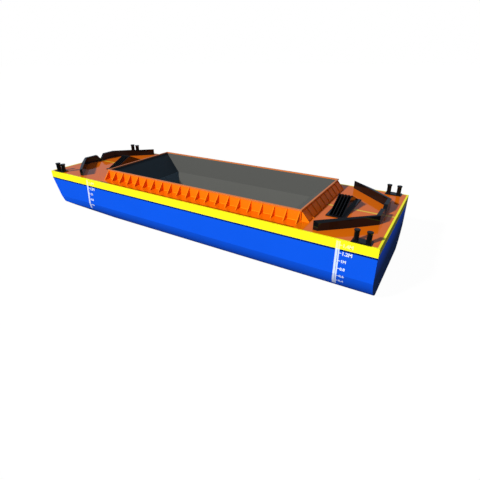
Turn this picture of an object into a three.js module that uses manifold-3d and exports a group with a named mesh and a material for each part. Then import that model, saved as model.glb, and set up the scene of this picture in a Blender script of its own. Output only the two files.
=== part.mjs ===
// Open-hold river barge: a box hull with a raked bow and a square stern, standing on its flat bottom.
// Millimetres, +Z up. The origin is on the floor under the middle of the hull, with the bow at -X,
// the stern at +X, port at -Y and starboard at +Y.

import * as THREE from 'three';
import { mergeVertices } from 'three/addons/utils/BufferGeometryUtils.js';
import Module from 'manifold-3d';

const wasm = await Module();
wasm.setup();

// Hull
const LENGTH = 11490;
const BEAM = 3840;
const DEPTH = 1540;
const BAND_HEIGHT = 224;
const BAND_THICKNESS = 50;
const DECK_PLATE = 10;
const RAKE_TANGENT = 0.46;
const BILGE_HEIGHT = 657;
const BILGE_INSET = 600;
const BILGE_RADIUS = 1050;
const BILGE_FACETS = 8;
const BOW_CHINE = { inset: 20, height: 445, bottomInset: 640, facets: 3 };
const SEAM = 0.4;

// Hold: its mouth is the coaming's outline, and its walls slope in to a knuckle and then drop to the floor
const HOLD_BOW = -3189;
const HOLD_STERN = 3775;
const HOLD_HALF_WIDTH = 1459;
const HOLD_FLOOR = 200;
const KNUCKLE_HEIGHT = 1205;
const SLOPE_IN_SIDE = 234;
const SLOPE_IN_END = 720;
const LINING_PLATE = 12;

// Coaming
const COAMING_HEIGHT = 302;
const COAMING_PLATE = 14;
const RIM_WIDTH = 46;
const RIM_HEIGHT = 34;
const RIM_OVERHANG = 16;
const BRACKET_THICKNESS = 14;
const BRACKET_TOE = 20;
const SIDE_BRACKETS = { count: 21, foot: 165, height: 228 };
const END_BRACKETS = { count: 10, foot: 215, height: 246 };

// Breakwaters: plan points [from the hull's end, from the centreline, drop of the top edge]
const BREAKWATER_HEIGHT = 237;
const WING_INBOARD = [[1560, 1730, 0], [970, 1195, 0], [380, 660, 0]];
const WING_OUTBOARD = [[280, 660, 0], [842, 1219, 8], [1430, 1746, 45]];
const BUMPER = { near: 280, far: 380, halfWidth: 660, notchTop: 170, notchFoot: 18, notchSill: 50 };

// Other deck fittings, placed from the hull's ends and the centreline
const BITT = { fromEnd: 405, y: 1768, length: 443, width: 245, plate: 30, bevel: 12, postSpacing: 275 };
const POST = { radius: 45, capRadius: 71, height: 245, flare: 50, rim: 16, round: 4 };
const STAND = { fromStern: 1335, fromBow: 1850, length: 1560, width: 497, plate: 28, height: 372 };
const STAND_RIB = { count: 5, spacing: 82, thickness: 22, reach: 730, toe: 12, head: 28, boss: 32, pin: 13 };

// Closed solids and their joins

function clean(geometry) {
  const bare = geometry.clone();
  bare.deleteAttribute('normal');
  bare.deleteAttribute('uv');
  return mergeVertices(bare, 1e-3);
}

function solid(geometry) {
  const merged = clean(geometry);
  const vertProperties = new Float32Array(merged.attributes.position.array);
  const triVerts = new Uint32Array(merged.index.array);
  return new wasm.Manifold(new wasm.Mesh({ numProp: 3, vertProperties, triVerts }));
}

function geometryOf(manifold) {
  const mesh = manifold.getMesh();
  const geometry = new THREE.BufferGeometry();
  const positions = new Float32Array(mesh.numVert * 3);
  for (let v = 0; v < mesh.numVert; v += 1) {
    for (let k = 0; k < 3; k += 1) {
      positions[v * 3 + k] = mesh.vertProperties[v * mesh.numProp + k];
    }
  }
  geometry.setAttribute('position', new THREE.BufferAttribute(positions, 3));
  geometry.setIndex(new THREE.BufferAttribute(new Uint32Array(mesh.triVerts), 1));
  return geometry;
}

function union(solids) {
  return solids.reduce((whole, next) => whole.add(next));
}

// An outline of [u, v] points with a unit depth w, each vertex put at place(u, v, w).
function prism(outline, place) {
  const shape = new THREE.Shape(outline.map(([u, v]) => new THREE.Vector2(u, v)));
  const geometry = new THREE.ExtrudeGeometry(shape, { depth: 1, bevelEnabled: false });
  const position = geometry.attributes.position;
  for (let k = 0; k < position.count; k += 1) {
    position.setXYZ(k, ...place(position.getX(k), position.getY(k), position.getZ(k)));
  }
  return solid(geometry);
}

// An outline of [y, z] points, swept along X.
function alongX(outline, x0, x1) {
  return prism(outline, (y, z, w) => [w < 0.5 ? x0 : x1, y, z]);
}

// Two outlines of [y, z] points with the same count, joined point to point from x0 to x1.
function loftX(first, last, x0, x1) {
  return prism(first, (y, z, w) => {
    const k = first.findIndex(([v, u]) => Math.hypot(v - y, u - z) < SEAM);
    return w < 0.5 ? [x0, y, z] : [x1, ...last[k]];
  });
}

// An outline of [x, z] points, swept along Y.
function alongY(outline, y0, y1) {
  return prism(outline, (x, z, w) => [x, w < 0.5 ? y1 : y0, z]);
}

// An outline of [x, y] points, raised from z0 to z1.
function alongZ(outline, z0, z1) {
  return prism(outline, (x, y, w) => [x, y, w < 0.5 ? z0 : z1]);
}

// A box from its lowest to its highest corner.
function box([x0, y0, z0], [x1, y1, z1]) {
  return alongZ([[x0, y0], [x1, y0], [x1, y1], [x0, y1]], z0, z1);
}

// Paint

const paint = {
  blue: new THREE.MeshStandardMaterial({ color: 0x165ef2, roughness: 0.35, metalness: 0.0 }),
  yellow: new THREE.MeshStandardMaterial({ color: 0xffee10, roughness: 0.35, metalness: 0.0 }),
  orange: new THREE.MeshStandardMaterial({ color: 0xe86a10, roughness: 0.35, metalness: 0.0 }),
  grey: new THREE.MeshStandardMaterial({ color: 0x6e6f6b, roughness: 0.6, metalness: 0.0 }),
  black: new THREE.MeshStandardMaterial({ color: 0x11161b, roughness: 0.3, metalness: 0.0 }),
};

const barge = new THREE.Group();

function place(name, geometry, material) {
  const mesh = new THREE.Mesh(geometry, material);
  mesh.name = name;
  barge.add(mesh);
  return mesh;
}

// Hull form: the midship section swept along the hull, cut by the side profile

// The bilge turn amidships and aft, as [inset from the side, height] points down an arc
function bilgeArc() {
  const start = new THREE.Vector2(0, BILGE_HEIGHT);
  const end = new THREE.Vector2(BILGE_INSET, 0);
  const chord = end.clone().sub(start);
  const middle = start.clone().add(end).multiplyScalar(0.5);
  const inward = new THREE.Vector2(-chord.y, chord.x).normalize();
  const reach = Math.sqrt(BILGE_RADIUS ** 2 - chord.lengthSq() / 4);
  const centre = middle.clone().addScaledVector(inward, reach);
  const from = Math.atan2(start.y - centre.y, start.x - centre.x);
  const to = Math.atan2(end.y - centre.y, end.x - centre.x);
  const points = [];
  for (let k = 0; k <= BILGE_FACETS; k += 1) {
    const angle = from + ((to - from) * k) / BILGE_FACETS;
    const z = k === BILGE_FACETS ? 0 : centre.y + BILGE_RADIUS * Math.sin(angle);
    points.push([centre.x + BILGE_RADIUS * Math.cos(angle), z]);
  }
  return points;
}

// The same turn at the raked bow, where it tightens into a chine, with as many points
function bowChine() {
  const { inset, height, bottomInset, facets } = BOW_CHINE;
  const points = [];
  for (let k = 0; k <= BILGE_FACETS; k += 1) {
    const down = Math.min(k / facets, 1);
    const across = Math.max((k - facets) / (BILGE_FACETS - facets), 0);
    points.push([
      inset * down + (bottomInset - inset) * across,
      BILGE_HEIGHT + (height - BILGE_HEIGHT) * down - height * across,
    ]);
  }
  return points;
}

const hullTop = DEPTH - DECK_PLATE - SEAM;
const bandFoot = DEPTH - BAND_HEIGHT;
const rakeRun = RAKE_TANGENT * bandFoot;

function section(turn) {
  const port = turn.map(([inset, z]) => [inset - BEAM / 2, z]);
  const starboard = turn.map(([inset, z]) => [BEAM / 2 - inset, z]).reverse();
  return [[-BEAM / 2, hullTop], ...port, ...starboard, [BEAM / 2, hullTop]];
}
const midship = section(bilgeArc());
const profile = [
  [-LENGTH / 2 + rakeRun, 0],
  [LENGTH / 2, 0],
  [LENGTH / 2, hullTop],
  [-LENGTH / 2, hullTop],
  [-LENGTH / 2, bandFoot],
];
const hullForm = loftX(section(bowChine()), midship, -LENGTH / 2 - 1, HOLD_BOW)
  .add(alongX(midship, HOLD_BOW, LENGTH / 2 + 1))
  .intersect(alongY(profile, -BEAM, BEAM));

// The painted sheer band takes its own ring out of the hull's upper edge.
const band = BAND_THICKNESS + SEAM;
const bandRing = box([-LENGTH, -BEAM, bandFoot - SEAM], [LENGTH, BEAM, DEPTH + 1]).subtract(
  box([-LENGTH / 2 + band, -BEAM / 2 + band, 0], [LENGTH / 2 - band, BEAM / 2 - band, DEPTH + 2]),
);

// The hold's void, drawn in from the coaming's outline by an offset, above a given floor
const rimFoot = DEPTH + COAMING_HEIGHT - RIM_HEIGHT;

function funnelProfile(from, to, slope, floor) {
  return [
    [from + slope, floor],
    [to - slope, floor],
    [to - slope, KNUCKLE_HEIGHT],
    [to, rimFoot],
    [to, rimFoot + RIM_HEIGHT],
    [from, rimFoot + RIM_HEIGHT],
    [from, rimFoot],
    [from + slope, KNUCKLE_HEIGHT],
  ];
}

function funnel(offset, floor) {
  const x0 = HOLD_BOW + offset;
  const x1 = HOLD_STERN - offset;
  const y = HOLD_HALF_WIDTH - offset;
  const across = alongX(funnelProfile(-y, y, SLOPE_IN_SIDE, floor), x0 - 1, x1 + 1);
  const along = alongY(funnelProfile(x0, x1, SLOPE_IN_END, floor), -y - 1, y + 1);
  return across.intersect(along);
}

const liningOuterFace = RIM_WIDTH - LINING_PLATE;
const holdCut = funnel(liningOuterFace - SEAM, HOLD_FLOOR - SEAM);
const hullBlock = hullForm.subtract(bandRing).subtract(holdCut);

// Hull tanks, parted at the hold's mouth, its lower walls and its floor
const mouthBow = HOLD_BOW + liningOuterFace - SEAM;
const mouthStern = HOLD_STERN - liningOuterFace + SEAM;
const wallBow = mouthBow + SLOPE_IN_END;
const wallStern = mouthStern - SLOPE_IN_END;
const wallSide = HOLD_HALF_WIDTH - liningOuterFace + SEAM - SLOPE_IN_SIDE;

// name, x from, x to, y from, y to, z to
const TANKS = [
  ['hull_bow_tank', -LENGTH, mouthBow - SEAM, -BEAM, BEAM, DEPTH],
  ['hull_stern_tank', mouthStern + SEAM, LENGTH, -BEAM, BEAM, DEPTH],
  ['hull_wing_port', mouthBow, mouthStern, -BEAM, -wallSide, DEPTH],
  ['hull_wing_starboard', mouthBow, mouthStern, wallSide, BEAM, DEPTH],
  ['hull_hopper_bow', mouthBow, wallBow, -wallSide + SEAM, wallSide - SEAM, DEPTH],
  ['hull_hopper_stern', wallStern, mouthStern, -wallSide + SEAM, wallSide - SEAM, DEPTH],
  ['hull_bottom', wallBow + SEAM, wallStern - SEAM, -wallSide + SEAM, wallSide - SEAM, HOLD_FLOOR],
];
for (const [name, x0, x1, y0, y1, z1] of TANKS) {
  place(name, geometryOf(hullBlock.intersect(box([x0, y0, -1], [x1, y1, z1]))), paint.blue);
}

// Sheer band: two long strakes with the end strakes between them
for (const [name, side] of [['sheer_band_port', -1], ['sheer_band_starboard', 1]]) {
  const ys = [side * (BEAM / 2 - BAND_THICKNESS), side * (BEAM / 2)].sort((a, b) => a - b);
  const strake = box([-LENGTH / 2, ys[0], bandFoot], [LENGTH / 2, ys[1], DEPTH]);
  place(name, geometryOf(strake), paint.yellow);
}
for (const [name, side] of [['sheer_band_bow', -1], ['sheer_band_stern', 1]]) {
  const xs = [side * (LENGTH / 2 - BAND_THICKNESS), side * (LENGTH / 2)].sort((a, b) => a - b);
  const y = BEAM / 2 - BAND_THICKNESS - SEAM;
  place(name, geometryOf(box([xs[0], -y, bandFoot], [xs[1], y, DEPTH])), paint.yellow);
}

// Deck plates inside the band, up to the coaming walls that pass down between them
const deckHalf = BEAM / 2 - BAND_THICKNESS - SEAM;
const deckEnd = LENGTH / 2 - BAND_THICKNESS - SEAM;
const deckStop = RIM_OVERHANG - SEAM;
const deckFoot = DEPTH - DECK_PLATE;

const sideDeck = [HOLD_BOW + deckStop + SEAM, HOLD_STERN - deckStop - SEAM];
const sideDeckEdge = HOLD_HALF_WIDTH - deckStop;

// name, x from, x to, y from, y to
const DECKS = [
  ['deck_bow', -deckEnd, HOLD_BOW + deckStop, -deckHalf, deckHalf],
  ['deck_stern', HOLD_STERN - deckStop, deckEnd, -deckHalf, deckHalf],
  ['deck_port', sideDeck[0], sideDeck[1], -deckHalf, -sideDeckEdge],
  ['deck_starboard', sideDeck[0], sideDeck[1], sideDeckEdge, deckHalf],
];
for (const [name, x0, x1, y0, y1] of DECKS) {
  place(name, geometryOf(box([x0, y0, deckFoot], [x1, y1, DEPTH])), paint.orange);
}

// Hold lining: bent plates that meet in mitres at the corners, around a floor plate
const shell = funnel(liningOuterFace, HOLD_FLOOR)
  .subtract(funnel(RIM_WIDTH, HOLD_FLOOR - 1))
  .intersect(box([-LENGTH, -BEAM, 0], [LENGTH, BEAM, rimFoot - SEAM]));

// A plan outline that holds one end's plates and follows the mitre lines, grown by a margin.
function endWedge(end, margin) {
  const x0 = end < 0 ? HOLD_BOW + RIM_WIDTH : HOLD_STERN - RIM_WIDTH;
  const y0 = HOLD_HALF_WIDTH - RIM_WIDTH;
  const before = 0.15;
  const past = 1.06;
  const plan = (t, side) => [x0 - end * SLOPE_IN_END * t, side * (y0 - SLOPE_IN_SIDE * t + margin)];
  const outline = [plan(-before, -1), plan(past, -1), plan(past, 1), plan(-before, 1)];
  return alongZ(end < 0 ? outline : outline.reverse(), 0, 2 * DEPTH);
}
for (const [name, end] of [['hold_lining_bow', -1], ['hold_lining_stern', 1]]) {
  place(name, geometryOf(shell.intersect(endWedge(end, 0))), paint.grey);
}
const sides = shell.subtract(endWedge(-1, SEAM)).subtract(endWedge(1, SEAM));
const portHalf = box([-LENGTH, -BEAM, 0], [LENGTH, 0, 2 * DEPTH]);
const starboardHalf = box([-LENGTH, 0, 0], [LENGTH, BEAM, 2 * DEPTH]);
place('hold_lining_port', geometryOf(sides.intersect(portHalf)), paint.grey);
place('hold_lining_starboard', geometryOf(sides.intersect(starboardHalf)), paint.grey);

const floorBow = HOLD_BOW + RIM_WIDTH + SLOPE_IN_END + SEAM;
const floorStern = HOLD_STERN - RIM_WIDTH - SLOPE_IN_END - SEAM;
const floorSide = HOLD_HALF_WIDTH - RIM_WIDTH - SLOPE_IN_SIDE - SEAM;
place('hold_floor', geometryOf(box(
  [floorBow, -floorSide, HOLD_FLOOR],
  [floorStern, floorSide, HOLD_FLOOR + LINING_PLATE],
)), paint.grey);

// Coaming walls, each with its row of brackets
const coamingFoot = deckFoot;
const coamingTop = rimFoot - SEAM;
const bracketFoot = DEPTH + SEAM;

// A bracket's outline away from the wall: out along the deck, up its toe and back to the wall's top.
function bracketOutline(face, outward, { foot, height }) {
  const wall = face - outward;
  return [
    [wall, bracketFoot],
    [face + outward * foot, bracketFoot],
    [face + outward * foot, bracketFoot + BRACKET_TOE],
    [face + outward * BRACKET_TOE, bracketFoot + height],
    [wall, bracketFoot + height],
  ];
}

function spread(count, from, to) {
  return Array.from({ length: count }, (_, k) => from + ((to - from) * k) / (count - 1));
}

function sideCoaming(side) {
  const face = side * (HOLD_HALF_WIDTH - RIM_OVERHANG);
  const ys = [face, face - side * COAMING_PLATE].sort((a, b) => a - b);
  const x0 = HOLD_BOW + RIM_OVERHANG;
  const x1 = HOLD_STERN - RIM_OVERHANG;
  const wall = box([x0, ys[0], coamingFoot], [x1, ys[1], coamingTop]);
  const outline = bracketOutline(face, side, SIDE_BRACKETS);
  const centres = spread(SIDE_BRACKETS.count, x0 + BRACKET_THICKNESS, x1 - BRACKET_THICKNESS);
  const half = BRACKET_THICKNESS / 2;
  return union([wall, ...centres.map((x) => alongX(outline, x - half, x + half))]);
}

function endCoaming(end) {
  const face = end < 0 ? HOLD_BOW + RIM_OVERHANG : HOLD_STERN - RIM_OVERHANG;
  const xs = [face, face - end * COAMING_PLATE].sort((a, b) => a - b);
  const y = HOLD_HALF_WIDTH - RIM_OVERHANG - COAMING_PLATE - SEAM;
  const wall = box([xs[0], -y, coamingFoot], [xs[1], y, coamingTop]);
  const outline = bracketOutline(face, end, END_BRACKETS);
  const half = BRACKET_THICKNESS / 2;
  const centres = spread(END_BRACKETS.count, -y + BRACKET_THICKNESS, y - BRACKET_THICKNESS);
  return union([wall, ...centres.map((c) => alongY(outline, c - half, c + half))]);
}
place('coaming_port', geometryOf(sideCoaming(-1)), paint.orange);
place('coaming_starboard', geometryOf(sideCoaming(1)), paint.orange);
place('coaming_bow', geometryOf(endCoaming(-1)), paint.orange);
place('coaming_stern', geometryOf(endCoaming(1)), paint.orange);

// Rim bars on the coaming, the long ones over the corners
const rimTop = DEPTH + COAMING_HEIGHT;
for (const [name, side] of [['coaming_rim_port', -1], ['coaming_rim_starboard', 1]]) {
  const ys = [side * HOLD_HALF_WIDTH, side * (HOLD_HALF_WIDTH - RIM_WIDTH)].sort((a, b) => a - b);
  place(name, geometryOf(box([HOLD_BOW, ys[0], rimFoot], [HOLD_STERN, ys[1], rimTop])), paint.orange);
}
for (const [name, end] of [['coaming_rim_bow', -1], ['coaming_rim_stern', 1]]) {
  const outer = end < 0 ? HOLD_BOW : HOLD_STERN;
  const xs = [outer, outer - end * RIM_WIDTH].sort((a, b) => a - b);
  const y = HOLD_HALF_WIDTH - RIM_WIDTH - SEAM;
  place(name, geometryOf(box([xs[0], -y, rimFoot], [xs[1], y, rimTop])), paint.orange);
}

// Breakwaters: two swept wings and a notched bumper between their inner ends
const fittingFoot = DEPTH + SEAM;
const breakwaterTop = fittingFoot + BREAKWATER_HEIGHT;

// A wing has a level inboard edge, and its outboard edge drops towards the outer end.
function wing(end, side) {
  const plan = [...WING_INBOARD, ...WING_OUTBOARD].map(([fromEnd, y, drop]) => (
    { x: end * (LENGTH / 2 - fromEnd), y: side * y, top: breakwaterTop - drop }
  ));
  const outline = plan.map(({ x, y }) => [x, y]);
  const topAt = (x, y) => plan.find((p) => Math.hypot(p.x - x, p.y - y) < 1).top;
  return prism(end * side < 0 ? outline : outline.reverse(), (x, y, w) => (
    [x, y, w < 0.5 ? fittingFoot : topAt(x, y)]
  ));
}

function bumper(end) {
  const xs = [end * (LENGTH / 2 - BUMPER.near), end * (LENGTH / 2 - BUMPER.far)].sort((a, b) => a - b);
  const y = BUMPER.halfWidth - SEAM;
  const outline = [
    [-y, fittingFoot],
    [y, fittingFoot],
    [y, breakwaterTop],
    [BUMPER.notchTop, breakwaterTop],
    [BUMPER.notchFoot, fittingFoot + BUMPER.notchSill],
    [-BUMPER.notchFoot, fittingFoot + BUMPER.notchSill],
    [-BUMPER.notchTop, breakwaterTop],
    [-y, breakwaterTop],
  ];
  return alongX(outline, xs[0], xs[1]);
}
for (const [end, endName] of [[-1, 'bow'], [1, 'stern']]) {
  place(`breakwater_bumper_${endName}`, geometryOf(bumper(end)), paint.black);
  for (const [side, sideName] of [[-1, 'port'], [1, 'starboard']]) {
    place(`breakwater_wing_${endName}_${sideName}`, geometryOf(wing(end, side)), paint.black);
  }
}

// Twin mooring bitts at the four corners
function post() {
  const capFoot = POST.height - POST.rim;
  const profile = [
    [0, 0],
    [POST.radius, 0],
    [POST.radius, capFoot - POST.flare],
    [POST.capRadius, capFoot],
    [POST.capRadius, POST.height - POST.round],
    [POST.capRadius - POST.round, POST.height],
    [0, POST.height],
  ];
  const geometry = new THREE.LatheGeometry(profile.map(([r, z]) => new THREE.Vector2(r, z)), 24);
  geometry.rotateX(Math.PI / 2);
  return geometry;
}
const bittTop = fittingFoot + BITT.plate;

// A base plate whose upper edges are bevelled all round.
function bittBase(x, y) {
  const half = [BITT.length / 2, BITT.width / 2];
  const across = (reach) => [
    [-reach, fittingFoot],
    [reach, fittingFoot],
    [reach, bittTop - BITT.bevel],
    [reach - BITT.bevel, bittTop],
    [-reach + BITT.bevel, bittTop],
    [-reach, bittTop - BITT.bevel],
  ];
  const lengthwise = alongY(across(half[0]), -BITT.width, BITT.width);
  const crosswise = alongX(across(half[1]), -BITT.length, BITT.length);
  return lengthwise.intersect(crosswise).translate([x, y, 0]);
}
for (const [end, endName] of [[-1, 'bow'], [1, 'stern']]) {
  for (const [side, sideName] of [[-1, 'port'], [1, 'starboard']]) {
    const x = end * (LENGTH / 2 - BITT.fromEnd);
    const y = side * BITT.y;
    place(`bitt_base_${endName}_${sideName}`, geometryOf(bittBase(x, y)), paint.black);
    for (const [letter, shift] of [['fore', -1], ['aft', 1]]) {
      const geometry = post();
      geometry.translate(x + (shift * BITT.postSpacing) / 2, y, bittTop + SEAM);
      place(`bitt_post_${endName}_${sideName}_${letter}`, geometryOf(solid(geometry)), paint.black);
    }
  }
}

// Ribbed stands on the centreline, between the coaming and each breakwater
const ribFoot = fittingFoot + STAND.plate + SEAM;

function standRibs(x) {
  const apex = fittingFoot + STAND.height - STAND_RIB.head;
  const outline = [
    [-STAND_RIB.reach, ribFoot],
    [STAND_RIB.reach, ribFoot],
    [STAND_RIB.reach, ribFoot + STAND_RIB.toe],
    [STAND_RIB.head, apex],
    [-STAND_RIB.head, apex],
    [-STAND_RIB.reach, ribFoot + STAND_RIB.toe],
  ];
  const half = STAND_RIB.thickness / 2;
  const reach = ((STAND_RIB.count - 1) * STAND_RIB.spacing) / 2;
  const ribs = spread(STAND_RIB.count, x - reach, x + reach).flatMap((c) => {
    const head = new THREE.CylinderGeometry(STAND_RIB.head, STAND_RIB.head, STAND_RIB.boss, 20);
    head.rotateZ(Math.PI / 2);
    head.translate(c, 0, apex);
    return [alongX(outline, c - half, c + half), solid(head)];
  });
  const pin = new THREE.CylinderGeometry(STAND_RIB.pin, STAND_RIB.pin, 2 * (reach + STAND_RIB.boss), 16);
  pin.rotateZ(Math.PI / 2);
  pin.translate(x, 0, apex);
  return union([...ribs, solid(pin)]);
}
const STANDS = [['stern', LENGTH / 2 - STAND.fromStern], ['bow', -LENGTH / 2 + STAND.fromBow]];
for (const [endName, x] of STANDS) {
  place(`stand_base_${endName}`, geometryOf(box(
    [x - STAND.width / 2, -STAND.length / 2, fittingFoot],
    [x + STAND.width / 2, STAND.length / 2, fittingFoot + STAND.plate],
  )), paint.black);
  place(`stand_ribs_${endName}`, geometryOf(standRibs(x)), paint.black);
}

export default barge;
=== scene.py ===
"""Looks of the open-hold river barge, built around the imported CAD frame.

Metres, +Z up. The bow is at -X, the stern at +X, port at -Y and starboard at +Y.
"""

import math

import bmesh
import bpy
from bpy.props import (
    FloatProperty,
    FloatVectorProperty,
    IntProperty,
    PointerProperty,
)
from mathutils import Matrix, Vector


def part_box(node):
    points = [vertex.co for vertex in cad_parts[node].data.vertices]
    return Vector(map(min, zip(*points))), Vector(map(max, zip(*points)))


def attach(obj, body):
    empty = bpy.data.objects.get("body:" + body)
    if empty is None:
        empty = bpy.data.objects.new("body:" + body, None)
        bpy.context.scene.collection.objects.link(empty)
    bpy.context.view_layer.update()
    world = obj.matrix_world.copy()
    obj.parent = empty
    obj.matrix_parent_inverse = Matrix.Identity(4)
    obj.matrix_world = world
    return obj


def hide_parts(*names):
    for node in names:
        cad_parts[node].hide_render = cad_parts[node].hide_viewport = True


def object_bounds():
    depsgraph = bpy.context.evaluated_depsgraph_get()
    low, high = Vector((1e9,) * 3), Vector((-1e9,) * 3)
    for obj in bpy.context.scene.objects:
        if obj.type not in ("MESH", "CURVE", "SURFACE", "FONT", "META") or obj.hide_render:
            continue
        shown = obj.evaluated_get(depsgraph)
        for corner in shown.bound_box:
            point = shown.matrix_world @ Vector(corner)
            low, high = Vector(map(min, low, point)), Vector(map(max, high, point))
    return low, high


bl_info = {
    "name": "River barge",
    "version": (1, 0, 0),
    "blender": (4, 5, 0),
    "location": "View3D > Sidebar > Barge",
    "description": "Dresses an open-hold river barge: plating, paint, fittings, marks and stage",
    "category": "Object",
}

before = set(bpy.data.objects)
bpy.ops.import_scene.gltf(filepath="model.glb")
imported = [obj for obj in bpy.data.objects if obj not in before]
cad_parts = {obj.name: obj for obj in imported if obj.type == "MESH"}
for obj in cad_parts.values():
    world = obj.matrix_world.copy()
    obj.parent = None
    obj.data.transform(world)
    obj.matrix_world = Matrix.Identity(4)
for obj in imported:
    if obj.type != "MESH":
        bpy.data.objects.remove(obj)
CAD_LOW, CAD_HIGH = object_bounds()

# Hull, read from the frame
HALF_LENGTH = CAD_HIGH.x
HALF_BEAM = CAD_HIGH.y
DECK_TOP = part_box("deck_stern")[1].z
BAND_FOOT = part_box("sheer_band_port")[0].z
BAND_DEPTH = HALF_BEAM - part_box("sheer_band_starboard")[0].y
SEAM = 0.0004

# Coaming and hold, read from the frame
RIM_BOW, RIM_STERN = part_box("coaming_rim_port")[0].x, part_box("coaming_rim_port")[1].x
RIM_HALF_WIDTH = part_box("coaming_rim_starboard")[1].y
RIM_FOOT, RIM_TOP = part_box("coaming_rim_port")[0].z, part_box("coaming_rim_port")[1].z
RIM_WIDTH = RIM_HALF_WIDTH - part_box("coaming_rim_starboard")[0].y

# Names of the hull's ends, sides and bitt posts, each end and side with its direction
ENDS = (("bow", -1), ("stern", 1))
SIDES = (("port", -1), ("starboard", 1))
POSTS = ("fore", "aft")

# How meshes are joined, rounded and shaded: metres and degrees
MERGE_UNDER = 1e-5
FLAT_UNDER = 0.4
SMOOTH_UNDER = 30.0
SMOOTH_TURNED = 35.0
SMOOTH_HULL = 12.0
BAND_EDGE = 0.004
RIM_EDGE = 0.005
STAND_EDGE = 0.004
SMALL_EDGE = 0.002


# Sizes and colours that a user may change


def colour_setting(name, description, default):
    """A paint's colour, as linear values."""
    return FloatVectorProperty(
        name=name, description=description, default=default, subtype="COLOR", min=0.0, max=1.0
    )


def length_setting(name, description, default, least=0.0):
    """A size in metres."""
    return FloatProperty(
        name=name, description=description, default=default, min=least, unit="LENGTH"
    )


def place_setting(name, description, default):
    """A position or a shift in metres, which may be below 0."""
    return FloatProperty(name=name, description=description, default=default, unit="LENGTH")


class BargePaint(bpy.types.PropertyGroup):
    """Colours of the barge's paints, as linear values. The transom, side deck, rim, bracket, apron
    and hold tones also carry painted light and shade.
    """

    hull: colour_setting("Hull blue", "Topside and bottom paint", (0.0027, 0.063, 0.508))
    band: colour_setting("Band yellow", "Sheer band paint", (0.68, 0.64, 0.008))
    deck: colour_setting("Deck orange", "Deck paint", (0.52, 0.102, 0.001))
    coaming: colour_setting(
        "Coaming orange", "Coaming wall paint", (0.84, 0.125, 0.002)
    )
    # Paler and duller than the coaming orange: painted sheen on the bar's top.
    rim: colour_setting(
        "Rim orange", "Paint of the bar along the coaming's top", (0.46, 0.13, 0.025)
    )
    # Darker than the coaming orange: painted shade on the brackets' faces.
    bracket: colour_setting(
        "Bracket orange", "Paint of the coaming's brackets", (0.62, 0.14, 0.003)
    )
    # Brighter than the coaming orange: painted light on the shaded aprons, and a painted highlight
    # along the coaming's welds.
    apron: colour_setting(
        "Apron orange",
        "Paint of the sloped plates between the end brackets, and of the coaming's welds",
        (0.98, 0.185, 0.004),
    )
    # Brighter than the deck orange: painted light from the coaming beside the side decks.
    side_deck: colour_setting(
        "Side deck orange", "Deck paint beside the coaming", (0.64, 0.11, 0.0006)
    )
    # The transom's tones are painted light and shade: the head brighter than the hull blue, the
    # foot darker.
    transom: colour_setting("Transom foot", "Hull paint low on the transom", (0.018, 0.05, 0.21))
    transom_head_painted_light: colour_setting(
        "Transom head", "Hull paint high on the transom", (0.017, 0.128, 0.98)
    )
    # Blue-grey, brighter than the hold grey: painted light on the bow wall below the knuckle.
    hold_end: colour_setting(
        "Hold end grey", "Primer low on the bow end of the hold's lining", (0.105, 0.17, 0.23)
    )
    hold: colour_setting("Hold grey", "Primer inside the hold", (0.074, 0.075, 0.069))
    fittings: colour_setting(
        "Fittings black", "Breakwater, bitt and stand paint", (0.0025, 0.0025, 0.0028)
    )
    marks: colour_setting("Mark white", "Draught mark paint", (0.47, 0.53, 0.68))
    stripe: colour_setting(
        "Stripe yellow", "Centreline stripe on the end decks", (0.57, 0.38, 0.02)
    )


class BargeHull(bpy.types.PropertyGroup):
    """Sizes of the hull's plating."""

    rake_tangent: FloatProperty(
        name="Bow rake",
        description="Run of the raked bow for each metre of height",
        default=0.44,
        min=0.0,
        max=2.0,
    )
    bilge_height: length_setting(
        "Bilge height", "Height of the knuckle where the bilge turn starts", 0.657
    )
    bilge_inset: length_setting("Bilge inset", "How far the bilge turn draws in at the bottom", 0.6)
    bilge_radius: length_setting("Bilge radius", "Radius of the bilge turn", 1.05, least=0.5)
    bilge_steps: IntProperty(
        name="Bilge steps", description="Faces round each bilge turn", default=32, min=8
    )
    chine_share: FloatProperty(
        name="Chine share",
        description="Share of the bilge's faces that lie above the chine at the bow",
        default=0.375,
        min=0.1,
        max=0.9,
    )
    chine_inset: length_setting(
        "Chine inset", "How far the chine at the bow draws in from the side", 0.02
    )
    chine_height: length_setting("Chine height", "Height of the chine at the bow", 0.445)
    chine_foot: length_setting(
        "Chine foot inset", "How far the bottom draws in below the chine at the bow", 0.64
    )
    hold_knuckle: length_setting(
        "Hold knuckle", "Height where the hold's slopes turn into upright walls", 1.205
    )
    plating: length_setting("Plating", "Thickness of the hull plating", 0.008, least=0.001)
    edge: length_setting("Hull edge", "Width of the rounding on the hull's corners", 0.008)
    stripe_width: length_setting("Stripe width", "Width of the centreline stripe", 0.07)


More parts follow.
